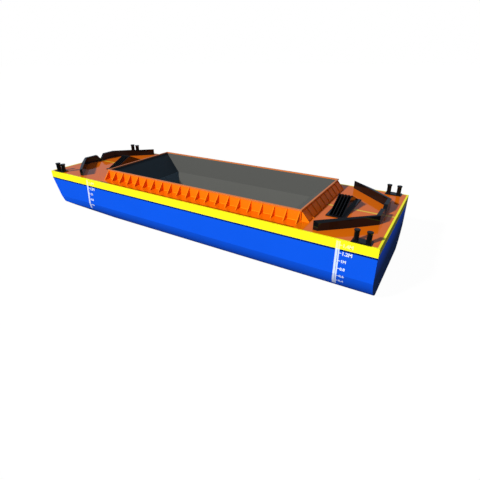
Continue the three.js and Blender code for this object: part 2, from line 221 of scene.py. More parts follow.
class BargeCoaming(bpy.types.PropertyGroup):
    """Sizes of the coaming's plates and brackets."""

    plate: length_setting("Coaming plate", "Thickness of the coaming walls", 0.014, least=0.001)
    overhang: length_setting(
        "Rim overhang", "How far the rim bar stands out past the coaming wall", 0.016
    )
    bracket: length_setting("Bracket plate", "Thickness of a bracket", 0.03, least=0.001)
    toe: length_setting("Bracket toe", "Height of a bracket's toe and width of its head", 0.02)
    side_count: IntProperty(
        name="Side brackets", description="Brackets along each side", default=21, min=2
    )
    side_foot: length_setting(
        "Side bracket foot", "Reach of a side bracket along the deck", 0.225, least=0.02
    )
    side_height: length_setting(
        "Side bracket height", "Height of a side bracket", 0.262, least=0.02
    )
    end_count: IntProperty(
        name="End brackets", description="Brackets across each end", default=10, min=2
    )
    end_foot: length_setting(
        "End bracket foot", "Reach of an end bracket along the deck", 0.215, least=0.02
    )
    end_height: length_setting("End bracket height", "Height of an end bracket", 0.246, least=0.02)
    apron_inset: length_setting(
        "Apron inset",
        "How far the sloped plates between the end brackets lie inside the brackets' edges",
        0.022,
    )
    edge: length_setting("Plate edge", "Width of the rounding on plate edges", 0.0022)
    weld: length_setting("Weld leg", "Leg of a fillet weld", 0.005, least=0.001)


class BargeFittings(bpy.types.PropertyGroup):
    """Sizes of the bitts and the ribbed stands."""

    stern_post: length_setting(
        "Stern post radius", "Radius of a bitt post at the stern", 0.058, least=0.01
    )
    bow_post: length_setting(
        "Bow post radius", "Radius of a bitt post at the bow", 0.07, least=0.01
    )
    bow_cap: length_setting(
        "Bow cap growth", "How much wider a post's cap is at the bow than at the stern", 0.014
    )
    post_flare: length_setting(
        "Post flare", "Height of the flare under a post's cap", 0.05, least=0.01
    )
    post_rim: length_setting("Post rim", "Height of a cap's upright rim", 0.016, least=0.004)
    rib_count: IntProperty(name="Ribs", description="Ribs on each stand", default=5, min=1)
    rib_spacing: length_setting("Rib spacing", "Distance between ribs", 0.082, least=0.01)
    rib_thickness: length_setting("Rib thickness", "Thickness of a rib plate", 0.022, least=0.002)
    rib_toe: length_setting("Rib toe", "Height of a rib's toe", 0.012)
    head_radius: length_setting("Head radius", "Radius of a rib's round head", 0.028, least=0.005)
    boss: length_setting(
        "Boss length", "Length of the boss through a rib's head", 0.032, least=0.005
    )
    pin_radius: length_setting(
        "Pin radius", "Radius of the pin through the heads", 0.013, least=0.002
    )
    edge: length_setting("Fitting edge", "Width of the rounding on the breakwaters' edges", 0.004)


class BargeMarks(bpy.types.PropertyGroup):
    """Places and sizes of the draught marks."""

    aft_x: place_setting("After strip", "Place of the after strip's middle along the hull", 4.868)
    fore_x: place_setting("Fore strip", "Place of the fore strip's middle along the hull", -3.752)
    aft_width: length_setting(
        "After strip width", "Width of the after draught strip", 0.095, least=0.005
    )
    fore_width: length_setting(
        "Fore strip width", "Width of the fore draught strip", 0.075, least=0.005
    )
    fore_lean: place_setting(
        "Fore strip lean",
        "How far aft the fore strip moves from the deck down to the bilge knuckle",
        -0.078,
    )
    aft_turn_lean: place_setting(
        "After strip lean on the bilge",
        "How far aft the after strip moves from the bilge knuckle down to its foot",
        -0.04,
    )
    fore_turn_lean: place_setting(
        "Fore strip lean on the bilge",
        "How far aft the fore strip moves from the bilge knuckle down to its foot",
        -0.065,
    )
    aft_foot: length_setting(
        "After strip foot",
        "Distance of the after strip's foot down the side from the deck",
        1.34,
        least=0.1,
    )
    fore_foot: length_setting(
        "Fore strip foot",
        "Distance of the fore strip's foot down the side from the deck",
        1.12,
        least=0.1,
    )
    strip_head: length_setting("Strip head", "Distance of a strip's head down from the deck", 0.03)
    gap: length_setting("Bare line", "Width of the bare line down a strip", 0.01, least=0.001)
    gap_at: FloatProperty(
        name="Bare line place",
        description="Place of the bare line from a strip's middle, as a share of its width",
        default=0.05,
        min=-0.4,
        max=0.3,
    )
    first_reading: FloatProperty(
        name="First reading", description="Draught at the top mark, in metres", default=1.4, min=0.1
    )
    first_down: length_setting("First mark", "Distance of the top mark down from the deck", 0.123)
    step: length_setting("Mark step", "Distance between numbered marks", 0.2, least=0.01)
    numeral: length_setting("Numeral height", "Height of the numerals", 0.085, least=0.01)
    boldness: length_setting(
        "Numeral boldness", "How far a numeral's outline grows on all sides", 0.005
    )
    film: length_setting(
        "Paint film", "How far a painted mark stands proud of the plating", 0.0008, least=0.0001
    )


class BargeStage(bpy.types.PropertyGroup):
    """Light, floor and camera."""

    key_strength: FloatProperty(
        name="Key light", description="Strength of the main light", default=6.4, min=0.0
    )
    key_spread: FloatProperty(
        name="Key spread",
        description="Angle of the main light's disc, which softens its shadows",
        default=math.radians(5.0),
        min=0.0,
        subtype="ANGLE",
    )
    key_from: FloatVectorProperty(
        name="Key direction",
        description="Direction that the main light comes from",
        default=(-0.387, -0.759, 0.523),
        subtype="DIRECTION",
    )
    ambient: FloatProperty(
        name="Ambient light",
        description="Strength of the light from all round",
        default=0.29,
        min=0.0,
    )
    floor_size: length_setting("Floor size", "Half the width of the floor", 400.0, least=10.0)
    lens: FloatProperty(
        name="Lens",
        description="Focal length of the camera, in millimetres",
        default=26.495,
        min=1.0,
    )
    camera_at: FloatVectorProperty(
        name="Camera place",
        description="Where the camera stands",
        default=(6.669, -8.954, 5.130),
        subtype="TRANSLATION",
    )
    yaw: FloatProperty(
        name="Camera yaw",
        description="Turn of the camera to port from looking across the hull",
        default=0.552,
        subtype="ANGLE",
    )
    pitch: FloatProperty(
        name="Camera pitch",
        description="How far the camera looks down",
        default=0.446,
        subtype="ANGLE",
    )
    roll: FloatProperty(
        name="Camera roll", description="Roll of the camera", default=0.005, subtype="ANGLE"
    )


# Meshes


def piece(name, bm, material, replaced=(), smooth_under=None):
    """Makes a bmesh into a named piece that rides on the hull."""
    bmesh.ops.recalc_face_normals(bm, faces=bm.faces)
    mesh = bpy.data.meshes.new(name)
    bm.to_mesh(mesh)
    bm.free()
    obj = bpy.data.objects.new(name, mesh)
    bpy.context.scene.collection.objects.link(obj)
    mesh.materials.append(material)
    if smooth_under is not None:
        mesh.shade_smooth()
        mesh.set_sharp_from_angle(angle=math.radians(smooth_under))
        flat = obj.modifiers.new("flat_faces", "WEIGHTED_NORMAL")
        flat.keep_sharp = True
    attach(obj, "root")
    if replaced:
        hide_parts(*replaced)
    return obj


def paint_node(name, material):
    """Gives a CAD node that stays in view its finish."""
    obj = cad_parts[name]
    obj.data.materials.clear()
    obj.data.materials.append(material)
    return obj


def round_edges(bm, width, segments=2, over=25.0, edges=None):
    """Rounds the edges of a bmesh that turn by more than the angle in degrees."""
    chosen = [
        e
        for e in (bm.edges if edges is None else edges)
        if len(e.link_faces) == 2 and e.calc_face_angle(0.0) > math.radians(over)
    ]
    bmesh.ops.bevel(
        bm,
        geom=chosen,
        offset=width,
        segments=segments,
        profile=0.5,
        affect="EDGES",
        clamp_overlap=True,
    )


def add_prism(bm, outline, start, end):
    """Adds a closed prism: outline points are 3D, and are swept from start to end offsets."""
    first = [bm.verts.new(Vector(p) + start) for p in outline]
    last = [bm.verts.new(Vector(p) + end) for p in outline]
    bm.faces.new(first)
    bm.faces.new(list(reversed(last)))
    for k, vertex in enumerate(first):
        after = (k + 1) % len(first)
        bm.faces.new((vertex, last[k], last[after], first[after]))


def add_box(bm, low, high):
    """Adds a closed box from its lowest to its highest corner."""
    outline = [
        (low[0], low[1], low[2]),
        (high[0], low[1], low[2]),
        (high[0], high[1], low[2]),
        (low[0], high[1], low[2]),
    ]
    add_prism(bm, outline, Vector((0, 0, 0)), Vector((0, 0, high[2] - low[2])))


def add_frame(bm, outer, width, z0, z1):
    """Adds a closed rectangular frame inside a plan rectangle (x0, y0, x1, y1)."""
    x0, y0, x1, y1 = outer
    inner = (x0 + width, y0 + width, x1 - width, y1 - width)

    def corners(rectangle, z):
        xa, ya, xb, yb = rectangle
        return [bm.verts.new((x, y, z)) for x, y in ((xa, ya), (xb, ya), (xb, yb), (xa, yb))]

    loops = [corners(outer, z0), corners(outer, z1), corners(inner, z1), corners(inner, z0)]
    for k, loop in enumerate(loops):
        following = loops[(k + 1) % len(loops)]
        for j in range(4):
            i = (j + 1) % 4
            bm.faces.new((loop[j], loop[i], following[i], following[j]))


def add_lathe(bm, profile, place, axis="Z", segments=64):
    """Adds a closed turned solid from (radius, distance along the axis) pairs, end to end."""
    rings = []
    for radius, height in profile:
        ring = []
        for k in range(segments if radius > 0 else 1):
            turn = 2 * math.pi * k / segments
            a, b = radius * math.cos(turn), radius * math.sin(turn)
            local = (a, b, height) if axis == "Z" else (height, a, b)
            ring.append(bm.verts.new(Vector(place) + Vector(local)))
        rings.append(ring)
    for lower, upper in zip(rings, rings[1:]):
        for k in range(segments):
            after = (k + 1) % segments
            corners = [
                lower[k % len(lower)],
                lower[after % len(lower)],
                upper[after % len(upper)],
                upper[k % len(upper)],
            ]
            bm.faces.new(list(dict.fromkeys(corners)))


# A weld bead's section, as shares of its leg: how far it sinks into the corner, how much of that
# its toes sink, and how far its crown stands out
BEAD_SINK = 0.12
BEAD_TOE_SINK = 0.5
BEAD_CROWN = 0.62


def add_fillet(bm, start, end, to_a, to_b, leg):
    """Adds a weld bead along a corner, with its legs on the two surfaces to_a and to_b."""
    a, b = Vector(to_a).normalized(), Vector(to_b).normalized()
    sink = -(a + b) * leg * BEAD_SINK
    toe_sink = sink * BEAD_TOE_SINK
    outline = [sink, a * leg + toe_sink, (a + b) * leg * BEAD_CROWN, b * leg + toe_sink]
    add_prism(bm, outline, Vector(start), Vector(end))


def joined_solid(node):
    """A bmesh of a CAD node's solid, with its flat faces joined up."""
    bm = bmesh.new()
    bm.from_mesh(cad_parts[node].data)
    bmesh.ops.remove_doubles(bm, verts=bm.verts, dist=MERGE_UNDER)
    bmesh.ops.dissolve_limit(
        bm, angle_limit=math.radians(FLAT_UNDER), verts=bm.verts, edges=bm.edges
    )
    return bm


def add_rounded_fitting(name, node, width, segments, finish):
    """Makes a CAD node's solid into a piece with rounded edges."""
    bm = joined_solid(node)
    round_edges(bm, width, segments)
    piece(name, bm, finish, [node], smooth_under=SMOOTH_UNDER)


def spread(count, first, last):
    """Evenly spaced values from first to last, both included, or the middle if count is 1."""
    if count == 1:
        return [(first + last) / 2]
    return [first + (last - first) * k / (count - 1) for k in range(count)]


def bilge_arc(hull):
    """Points (inset from the side, height) down the bilge turn amidships."""
    start = Vector((0.0, hull.bilge_height))
    end = Vector((hull.bilge_inset, 0.0))
    chord = end - start
    middle = (start + end) / 2
    inward = Vector((-chord.y, chord.x)).normalized()
    reach = math.sqrt(hull.bilge_radius**2 - chord.length_squared / 4)
    centre = middle + inward * reach
    first = math.atan2(start.y - centre.y, start.x - centre.x)
    last = math.atan2(end.y - centre.y, end.x - centre.x)
    points = []
    for angle in spread(hull.bilge_steps + 1, first, last):
        reached = centre + Vector((math.cos(angle), math.sin(angle))) * hull.bilge_radius
        points.append(Vector((reached.x, max(reached.y, 0.0))))
    return points


def bow_chine(hull):
    """The same points at the raked bow, where the turn tightens into a chine."""
    knuckle = Vector((0.0, hull.bilge_height))
    chine = Vector((hull.chine_inset, hull.chine_height))
    foot = Vector((hull.chine_foot, 0.0))
    points = []
    for share in spread(hull.bilge_steps + 1, 0.0, 1.0):
        if share <= hull.chine_share:
            points.append(knuckle.lerp(chine, share / hull.chine_share))
        else:
            points.append(chine.lerp(foot, (share - hull.chine_share) / (1 - hull.chine_share)))
    return points


def turn_point(hull, arc, chine, k, x):
    """Point k of the bilge turn as (inset, height) at a place along the hull."""
    share = min(max((x + HALF_LENGTH) / (RIM_BOW + HALF_LENGTH), 0.0), 1.0)
    return chine[k].lerp(arc[k], share)


# Rounds in which a point of the bilge turn settles on the rake
ROUNDS_TO_MEET = 12


def bow_end(hull, arc, chine, k):
    """Where point k of the bilge turn meets the raked bow."""
    x = -HALF_LENGTH
    for _ in range(ROUNDS_TO_MEET):
        x = -HALF_LENGTH + hull.rake_tangent * (BAND_FOOT - turn_point(hull, arc, chine, k, x).y)
    return x


# Shared shader effects


def new_group(name, inputs, outputs):
    """A shader node group with named sockets, given as (name, socket type, default)."""
    group = bpy.data.node_groups.new(name, "ShaderNodeTree")
    for label, kind, value in inputs:
        socket = group.interface.new_socket(name=label, in_out="INPUT", socket_type=kind)
        if value is not None:
            socket.default_value = value
    for label, kind in outputs:
        group.interface.new_socket(name=label, in_out="OUTPUT", socket_type=kind)
    return group, group.nodes.new("NodeGroupInput"), group.nodes.new("NodeGroupOutput")


def fill(tree, node, inputs):
    """Fills a node's inputs from values or other nodes' sockets."""
    for key, value in inputs.items():
        if isinstance(value, bpy.types.NodeSocket):
            tree.links.new(value, node.inputs[key])
        else:
            node.inputs[key].default_value = value


def add(tree, kind, inputs, **settings):
    """Adds a node with its settings and inputs."""
    made = tree.nodes.new(kind)
    for key, value in settings.items():
        setattr(made, key, value)
    fill(tree, made, inputs)
    return made


def noise(tree, vector, scale, detail, roughness):
    """A noise value from about 0.3 to 0.7."""
    inputs = {"Vector": vector, "Scale": scale, "Detail": detail, "Roughness": roughness}
    return add(tree, "ShaderNodeTexNoise", inputs).outputs[0]


def math_node(tree, operation, *values):
    """Works a sum out of values or sockets."""
    return add(tree, "ShaderNodeMath", dict(enumerate(values)), operation=operation).outputs[0]


def ranged(tree, value, low, high, to_low, to_high, **settings):
    """Maps a value from one range to another, and holds it inside."""
    limits = {"From Min": low, "From Max": high, "To Min": to_low, "To Max": to_high}
    made = add(tree, "ShaderNodeMapRange", {"Value": value, **limits}, **settings)
    return made.outputs["Result"]


def mixed(tree, factor, first, second):
    """Mixes two colours, by the mix node's own numbers for its colour sockets."""
    made = add(tree, "ShaderNodeMix", {0: factor, 6: first, 7: second}, data_type="RGBA")
    return made.outputs[2]


# Height of the paint's fine skin as a share of the plate's own unevenness
SKIN_SHARE = 0.02


def make_paint_film():
    """Paint on plate: slow tone patches, uneven gloss, fine skin and a gently uneven plate."""
    group, given, out = new_group(
        "paint_film",
        [
            ("Vector", "NodeSocketVector", None),
            ("Fresh Tone", "NodeSocketColor", (0.5, 0.5, 0.5, 1.0)),
            ("Aged Tone", "NodeSocketColor", (0.4, 0.4, 0.4, 1.0)),
            ("Patch Scale", "NodeSocketFloat", 0.9),
            ("Least Roughness", "NodeSocketFloat", 0.1),
            ("Most Roughness", "NodeSocketFloat", 0.2),
            ("Skin Scale", "NodeSocketFloat", 160.0),
            ("Plate Wave", "NodeSocketFloat", 1.0),
        ],
        [
            ("Color", "NodeSocketColor"),
            ("Roughness", "NodeSocketFloat"),
            ("Height", "NodeSocketFloat"),
        ],
    )
    vector = given.outputs["Vector"]
    patches = noise(group, vector, given.outputs["Patch Scale"], detail=4.0, roughness=0.55)
    age = ranged(group, patches, 0.35, 0.7, 0.0, 1.0)
    tone = mixed(group, age, given.outputs["Fresh Tone"], given.outputs["Aged Tone"])
    gloss = noise(group, vector, scale=5.5, detail=3.0, roughness=0.6)
    least, most = given.outputs["Least Roughness"], given.outputs["Most Roughness"]
    rough = ranged(group, gloss, 0.3, 0.7, least, most)
    skin = noise(group, vector, given.outputs["Skin Scale"], detail=1.0, roughness=0.4)
    plate = noise(group, vector, scale=1.1, detail=1.0, roughness=0.4)
    swell = math_node(group, "MULTIPLY", plate, given.outputs["Plate Wave"])
    small = math_node(group, "MULTIPLY", skin, SKIN_SHARE)
    height = math_node(group, "ADD", swell, small)
    group.links.new(tone, out.inputs["Color"])
    group.links.new(rough, out.inputs["Roughness"])
    group.links.new(height, out.inputs["Height"])
    return group


def make_seam_lines():
    """Butt welds under the paint: a narrow ridge at each step along one direction."""
    group, given, out = new_group(
        "seam_lines",
        [
            ("Distance", "NodeSocketFloat", 0.0),
            ("Step", "NodeSocketFloat", 2.0),
            ("Shift", "NodeSocketFloat", 0.0),
            ("Half Width", "NodeSocketFloat", 0.008),
        ],
        [("Ridge", "NodeSocketFloat")],
    )
    moved = math_node(group, "SUBTRACT", given.outputs["Distance"], given.outputs["Shift"])
    half = math_node(group, "MULTIPLY", given.outputs["Step"], 0.5)
    low = math_node(group, "MULTIPLY", half, -1.0)
    wrapped = math_node(group, "WRAP", moved, half, low)
    away = math_node(group, "ABSOLUTE", wrapped)
    half_width = given.outputs["Half Width"]
    ridge = ranged(group, away, half_width, 0.0, 0.0, 1.0, interpolation_type="SMOOTHSTEP")
    group.links.new(ridge, out.inputs["Ridge"])
    return group


def make_line_mask():
    """A painted line: 1 within the half width of a distance of 0, with a crisp edge."""
    group, given, out = new_group(
        "line_mask",
        [
            ("Distance", "NodeSocketFloat", 0.0),
            ("Half Width", "NodeSocketFloat", 0.035),
            ("Edge", "NodeSocketFloat", 0.0015),
        ],
        [("Mask", "NodeSocketFloat")],
    )
    away = math_node(group, "ABSOLUTE", given.outputs["Distance"])
    outer = math_node(group, "ADD", given.outputs["Half Width"], given.outputs["Edge"])
    inner = math_node(group, "SUBTRACT", given.outputs["Half Width"], given.outputs["Edge"])
    mask = ranged(group, away, outer, inner, 0.0, 1.0)
    group.links.new(mask, out.inputs["Mask"])
    return group


def make_weld_ripple():
    """Stacked ripples of a hand-laid weld bead."""
    group, given, out = new_group(
        "weld_ripple",
        [
            ("Vector", "NodeSocketVector", None),
            ("Ripple Scale", "NodeSocketFloat", 90.0),
        ],
        [("Height", "NodeSocketFloat")],
    )
    vector, scale = given.outputs["Vector"], given.outputs["Ripple Scale"]
    lumps = noise(group, vector, scale, detail=2.0, roughness=0.6)
    ripples = add(group, "ShaderNodeTexVoronoi", {"Vector": vector, "Scale": scale})
    height = math_node(group, "ADD", lumps, ripples.outputs["Distance"])
    group.links.new(height, out.inputs["Height"])
    return group


SHARED_EFFECTS = {
    "paint_film": make_paint_film,
    "seam_lines": make_seam_lines,
    "line_mask": make_line_mask,
    "weld_ripple": make_weld_ripple,
}


def effect(tree, name, inputs):
    """Places a shared effect in a material with its own values, and makes it at its first use."""
    group = bpy.data.node_groups.get(name) or SHARED_EFFECTS[name]()
    made = tree.nodes.new("ShaderNodeGroup")
    made.node_tree = group
    fill(tree, made, inputs)
    return made


# Finishes


def opaque(colour):
    """A colour with the alpha that a node's socket takes."""
    return (colour[0], colour[1], colour[2], 1.0)


def toned(colour, share):
    """A darker tone of a colour."""
    return tuple(c * share for c in colour)


def finish_tree(name):
    """A new material with its surface shader, and the object coordinates split into X, Y and Z."""
    material = bpy.data.materials.new(name)
    material.use_nodes = True
    tree = material.node_tree
    tree.nodes.clear()
    output = tree.nodes.new("ShaderNodeOutputMaterial")
    surface = tree.nodes.new("ShaderNodeBsdfPrincipled")
    tree.links.new(surface.outputs["BSDF"], output.inputs["Surface"])
    where = tree.nodes.new("ShaderNodeTexCoord").outputs["Object"]
    parts = add(tree, "ShaderNodeSeparateXYZ", {"Vector": where})
    return material, tree, surface, where, parts


def finish_surface(tree, surface, colour, film, height, specular, relief):
    """Joins a finish's colour, gloss and relief to its shader. relief is (strength, distance)."""
    tree.links.new(colour, surface.inputs["Base Color"])
    tree.links.new(film.outputs["Roughness"], surface.inputs["Roughness"])
    surface.inputs["Specular IOR Level"].default_value = specular
    strength, distance = relief
    inputs = {"Height": height, "Strength": strength, "Distance": distance}
    bump = add(tree, "ShaderNodeBump", inputs)
    tree.links.new(bump.outputs["Normal"], surface.inputs["Normal"])


# Relief of paint and of weld beads, as the strength and the distance in metres of their bump, and
# how high a painted line and a butt weld stand in it
PAINT_RELIEF = (0.35, 0.001)
WELD_RELIEF = (0.6, 0.002)
LINE_HEIGHT = 0.15
SEAM_HEIGHT = 0.6
WELD_AGED = 0.85


def paint(
    name, tone, *, aged, rough, specular, patch, wave=1.0, seams=(), line=None, above=None
):
    """A painted-steel finish.

    aged is the tone of the aged patches as a share of the fresh tone, rough holds the least and the
    most roughness, patch is the scale of the patches, and wave is how uneven the plate is. seams
    holds (axis, step, shift) of butt welds, line holds (axis, half width, colour), and above holds
    (axis, start, end, colour) of a change of colour along an axis.
    """
    found = bpy.data.materials.get(name)
    if found:
        return found
    material, tree, surface, where, parts = finish_tree(name)
    film = effect(
        tree,
        "paint_film",
        {
            "Vector": where,
            "Fresh Tone": opaque(tone),
            "Aged Tone": opaque(toned(tone, aged)),
            "Patch Scale": patch,
            "Least Roughness": rough[0],
            "Most Roughness": rough[1],
            "Plate Wave": wave,
        },
    )
    colour, height = film.outputs["Color"], film.outputs["Height"]
    if above:
        axis, start, end, other = above
        share = ranged(tree, parts.outputs[axis], start, end, 0.0, 1.0)
        colour = mixed(tree, share, colour, opaque(other))
    if line:
        axis, half_width, line_colour = line
        inputs = {"Distance": parts.outputs[axis], "Half Width": half_width}
        mask = effect(tree, "line_mask", inputs).outputs["Mask"]
        colour = mixed(tree, mask, colour, opaque(line_colour))
        raised = math_node(tree, "MULTIPLY", mask, LINE_HEIGHT)
        height = math_node(tree, "ADD", height, raised)
    for axis, step, shift in seams:
        inputs = {"Distance": parts.outputs[axis], "Step": step, "Shift": shift}
        ridge = effect(tree, "seam_lines", inputs).outputs["Ridge"]
        raised = math_node(tree, "MULTIPLY", ridge, SEAM_HEIGHT)
        height = math_node(tree, "ADD", height, raised)
    finish_surface(tree, surface, colour, film, height, specular, PAINT_RELIEF)
    return material


def weld_finish(name, tone, rough, specular):
    """A painted weld bead."""
    material, tree, surface, where, _ = finish_tree(name)
    film = effect(
        tree,
        "paint_film",
        {
            "Vector": where,
            "Fresh Tone": opaque(tone),
            "Aged Tone": opaque(toned(tone, WELD_AGED)),
            "Least Roughness": rough[0],
            "Most Roughness": rough[1],
        },
    )
    ripple = effect(tree, "weld_ripple", {"Vector": where})
    height = ripple.outputs["Height"]
    finish_surface(tree, surface, film.outputs["Color"], film, height, specular, WELD_RELIEF)
    return material


# Where one tone gives way to another, in metres: the painted shadow under the sheer band, the
# transom's fade from painted light at its head to painted shade at its foot, the painted shade
# beside the band on deck, and half the width of a crisp edge in the hold and on the draught strips
BAND_SHADOW_LINE = (0.046, 0.04)
TRANSOM_SHADE_FADE = (1.25, 0.65)
DECK_EDGE_SHADE = (0.07, 0.06)
HOLD_EDGE = 0.004
MARK_EDGE = 0.002

# Primer of the hold's two ends and of its sides and floor: the finish's name, the tone above the
# knuckle as a share of the tone below it, which is painted shade, the specular level and the butt
# welds
HOLD_ENDS = {
    "bow": ("hold_bow_primer_light_and_shade", 0.13, 0.1, ("Y", 1.2, 0.6)),
    "stern": ("hold_stern_primer_and_shade", 0.93, 0.15, ("Y", 1.2, 0.6)),
}
HOLD_SIDES = ("hold_side_primer_and_shade", 0.69, 0.15, ("X", 1.5, 0.3))


def hull_paint_and_band_shadow(paints):
    """Hull blue, with a painted shadow line just under the sheer band."""
    start, end = BAND_SHADOW_LINE
    return paint(
        "hull_blue_paint_and_band_shadow",
        paints.hull,
        aged=0.95,
        rough=(0.16, 0.24),
        specular=0.14,
        patch=0.5,
        wave=0.5,
        seams=[("X", 1.9, 0.35)],
        # A darker strip of hull blue just under the sheer band: painted shadow of the band.
        above=("Z", BAND_FOOT - start, BAND_FOOT - end, toned(paints.hull, 0.15)),
    )


def transom_light_and_shade_paint(paints):
    """Hull blue on the transom, with painted light and shade: brighter at its head and darkening
    towards its foot.
    """
    return paint(
        "transom_blue_painted_light_and_shade",
        paints.transom_head_painted_light,
        aged=0.95,
        rough=(0.3, 0.4),
        specular=0.05,
        patch=0.5,
        wave=0.5,
        seams=[("Y", 1.28, 0.64)],
        above=("Z", *TRANSOM_SHADE_FADE, paints.transom),
    )


def band_paint(paints):
    """Glossy yellow of the sheer band."""
    return paint(
        "band_yellow_paint",
        paints.band,
        aged=0.97,
        rough=(0.14, 0.24),
        specular=0.2,
        patch=0.7,
    )


def end_deck_paint(paints, stripe_width):
    """Deck paint with the yellow centreline stripe."""
    return paint(
        "deck_orange_paint",
        paints.deck,
        aged=0.95,
        rough=(0.05, 0.1),
        specular=0.5,
        patch=0.8,
        wave=0.35,
        line=("Y", stripe_width / 2, tuple(paints.stripe)),
    )


def side_deck_light_and_shade_paint(paints, side_name, side):
    """Deck paint beside the coaming, brighter than the end decks' as painted light from the
    coaming, with a line of painted shade along the sheer band.
    """
    edge = HALF_BEAM - BAND_DEPTH
    start, end = DECK_EDGE_SHADE
    return paint(
        f"side_deck_orange_light_and_shade_{side_name}",
        paints.side_deck,
        aged=0.97,
        rough=(0.05, 0.1),
        specular=0.5,
        patch=0.8,
        wave=0.2,
        # A darker line along the band's inner edge: painted shade in the joint.
        above=("Y", side * (edge - start), side * (edge - end), toned(paints.side_deck, 0.3)),
    )


def coaming_paint(paints):
    """Orange of the coaming walls."""
    return paint(
        "coaming_orange_paint",
        paints.coaming,
        aged=0.96,
        rough=(0.2, 0.3),
        specular=0.2,
        patch=1.3,
        wave=0.4,
    )


def plate_paint_light_and_shade(name, tone):
    """Orange of the coaming's brackets, darker than the walls' as painted shade, or of the sloped
    plates between them, brighter as painted light.
    """
    return paint(name, tone, aged=0.96, rough=(0.3, 0.4), specular=0.1, patch=1.3, wave=0.3)


def rim_paint_and_sheen(paints):
    """Orange of the bar along the coaming's top, paler and duller than the coaming's: painted sheen
    of its top face.
    """
    return paint(
        "rim_orange_paint_and_sheen",
        paints.rim,
        aged=0.94,
        rough=(0.06, 0.12),
        specular=0.5,
        patch=1.3,
        wave=0.3,
    )


def hold_primer_light_and_shade(paints, knuckle, end_name):
    """Primer of one wall of the hold or its floor, darker above the knuckle as painted shade. The
    bow wall's blue-grey below the knuckle, brighter than the hold grey, is painted light.
    """
    name, upper, specular, seam = HOLD_ENDS.get(end_name, HOLD_SIDES)
    tone = paints.hold_end if end_name == "bow" else paints.hold
    return paint(
        name,
        tone,
        aged=0.96,
        rough=(0.42, 0.6),
        specular=specular,
        patch=0.8,
        seams=[seam],
        above=("Z", knuckle - HOLD_EDGE, knuckle + HOLD_EDGE, toned(tone, upper)),
    )


def black_paint(paints):
    """Glossy black of the deck fittings."""
    return paint(
        "fittings_black_paint",
        paints.fittings,
        aged=0.8,
        rough=(0.06, 0.13),
        specular=0.32,
        patch=2.0,
        wave=0.3,
    )


def mark_paint(paints):
    """White of the draught marks, which shows only faintly where a strip crosses the band."""
    faint = tuple(0.76 * c + 0.24 for c in paints.band)
    return paint(
        "mark_white_paint",
        paints.marks,
        aged=0.9,
        rough=(0.3, 0.45),
        specular=0.3,
        patch=9.0,
        above=("Z", BAND_FOOT - MARK_EDGE, BAND_FOOT + MARK_EDGE, faint),
    )


# Pieces


# Faces of the hull's skin along the bow, beside and behind the hold
SKIN_STEPS = 8

# A face turned this much towards the stern belongs to the transom
TRANSOM_FACING = 0.99


def add_hull_skin(bm, hull):
    """Adds the hull's outer skin below the sheer band, and gives back the edges of its two ends."""
    arc, chine = bilge_arc(hull), bow_chine(hull)
    top = BAND_FOOT - SEAM

    def row(side, k):
        start = -HALF_LENGTH if k is None else bow_end(hull, arc, chine, k)
        places = spread(SKIN_STEPS + 1, start, RIM_BOW)
        places += spread(SKIN_STEPS + 1, RIM_BOW, HALF_LENGTH)[1:]
        made = []
        for x in places:
            inset, z = (0.0, top) if k is None else turn_point(hull, arc, chine, k, x)
            made.append(bm.verts.new((x, side * (HALF_BEAM - inset), z)))
        return made

    steps = [None, *range(hull.bilge_steps + 1)]
    rows = [row(-1, k) for k in steps] + [row(1, k) for k in reversed(steps)]
    for upper, lower in zip(rows, rows[1:]):
        for k in range(len(upper) - 1):
            bm.faces.new((upper[k], upper[k + 1], lower[k + 1], lower[k]))
    bow = bm.faces.new([points[0] for points in rows])
    stern = bm.faces.new([points[-1] for points in reversed(rows)])
    return [e for face in (bow, stern) for e in face.edges]


def nodes_under(*starts):
    """The names of the CAD nodes that start in one of the given ways."""
    return [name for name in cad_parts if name.startswith(starts)]


class BARGE_OT_hull(bpy.types.Operator):
    """Build the hull plating with its bilge turn, raked bow and square stern"""

    bl_idname = "barge.hull"
    bl_label = "Hull plating"

    def execute(self, context):
        hull = context.scene.barge_hull
        paints = context.scene.barge_paint
        bm = bmesh.new()
        end_edges = add_hull_skin(bm, hull)
        bmesh.ops.recalc_face_normals(bm, faces=bm.faces)
        round_edges(bm, hull.edge, 3, SMOOTH_HULL, end_edges)
        blocks = nodes_under("hull_")
        obj = piece("hull_plating", bm, hull_paint_and_band_shadow(paints), blocks, SMOOTH_HULL)
        # Faces turned to the stern take the transom blue, with its painted light and shade.
        obj.data.materials.append(transom_light_and_shade_paint(paints))
        for face in obj.data.polygons:
            if face.normal.x > TRANSOM_FACING:
                face.material_index = 1
        shell = obj.modifiers.new("plating", "SOLIDIFY")
        shell.thickness = hull.plating
        shell.offset = -1.0
        obj.modifiers.move(1, 0)
        return {"FINISHED"}


class BARGE_OT_sheer_band(bpy.types.Operator):
    """Build the yellow sheer band round the hull's upper edge"""

    bl_idname = "barge.sheer_band"
    bl_label = "Sheer band"

    def execute(self, context):
        bm = bmesh.new()
        outer = (-HALF_LENGTH, -HALF_BEAM, HALF_LENGTH, HALF_BEAM)
        add_frame(bm, outer, BAND_DEPTH, BAND_FOOT, DECK_TOP)
        round_edges(bm, BAND_EDGE, 3)
        yellow = band_paint(context.scene.barge_paint)
        lengths = nodes_under("sheer_band_")
        piece("sheer_band", bm, yellow, lengths, SMOOTH_UNDER)
        return {"FINISHED"}


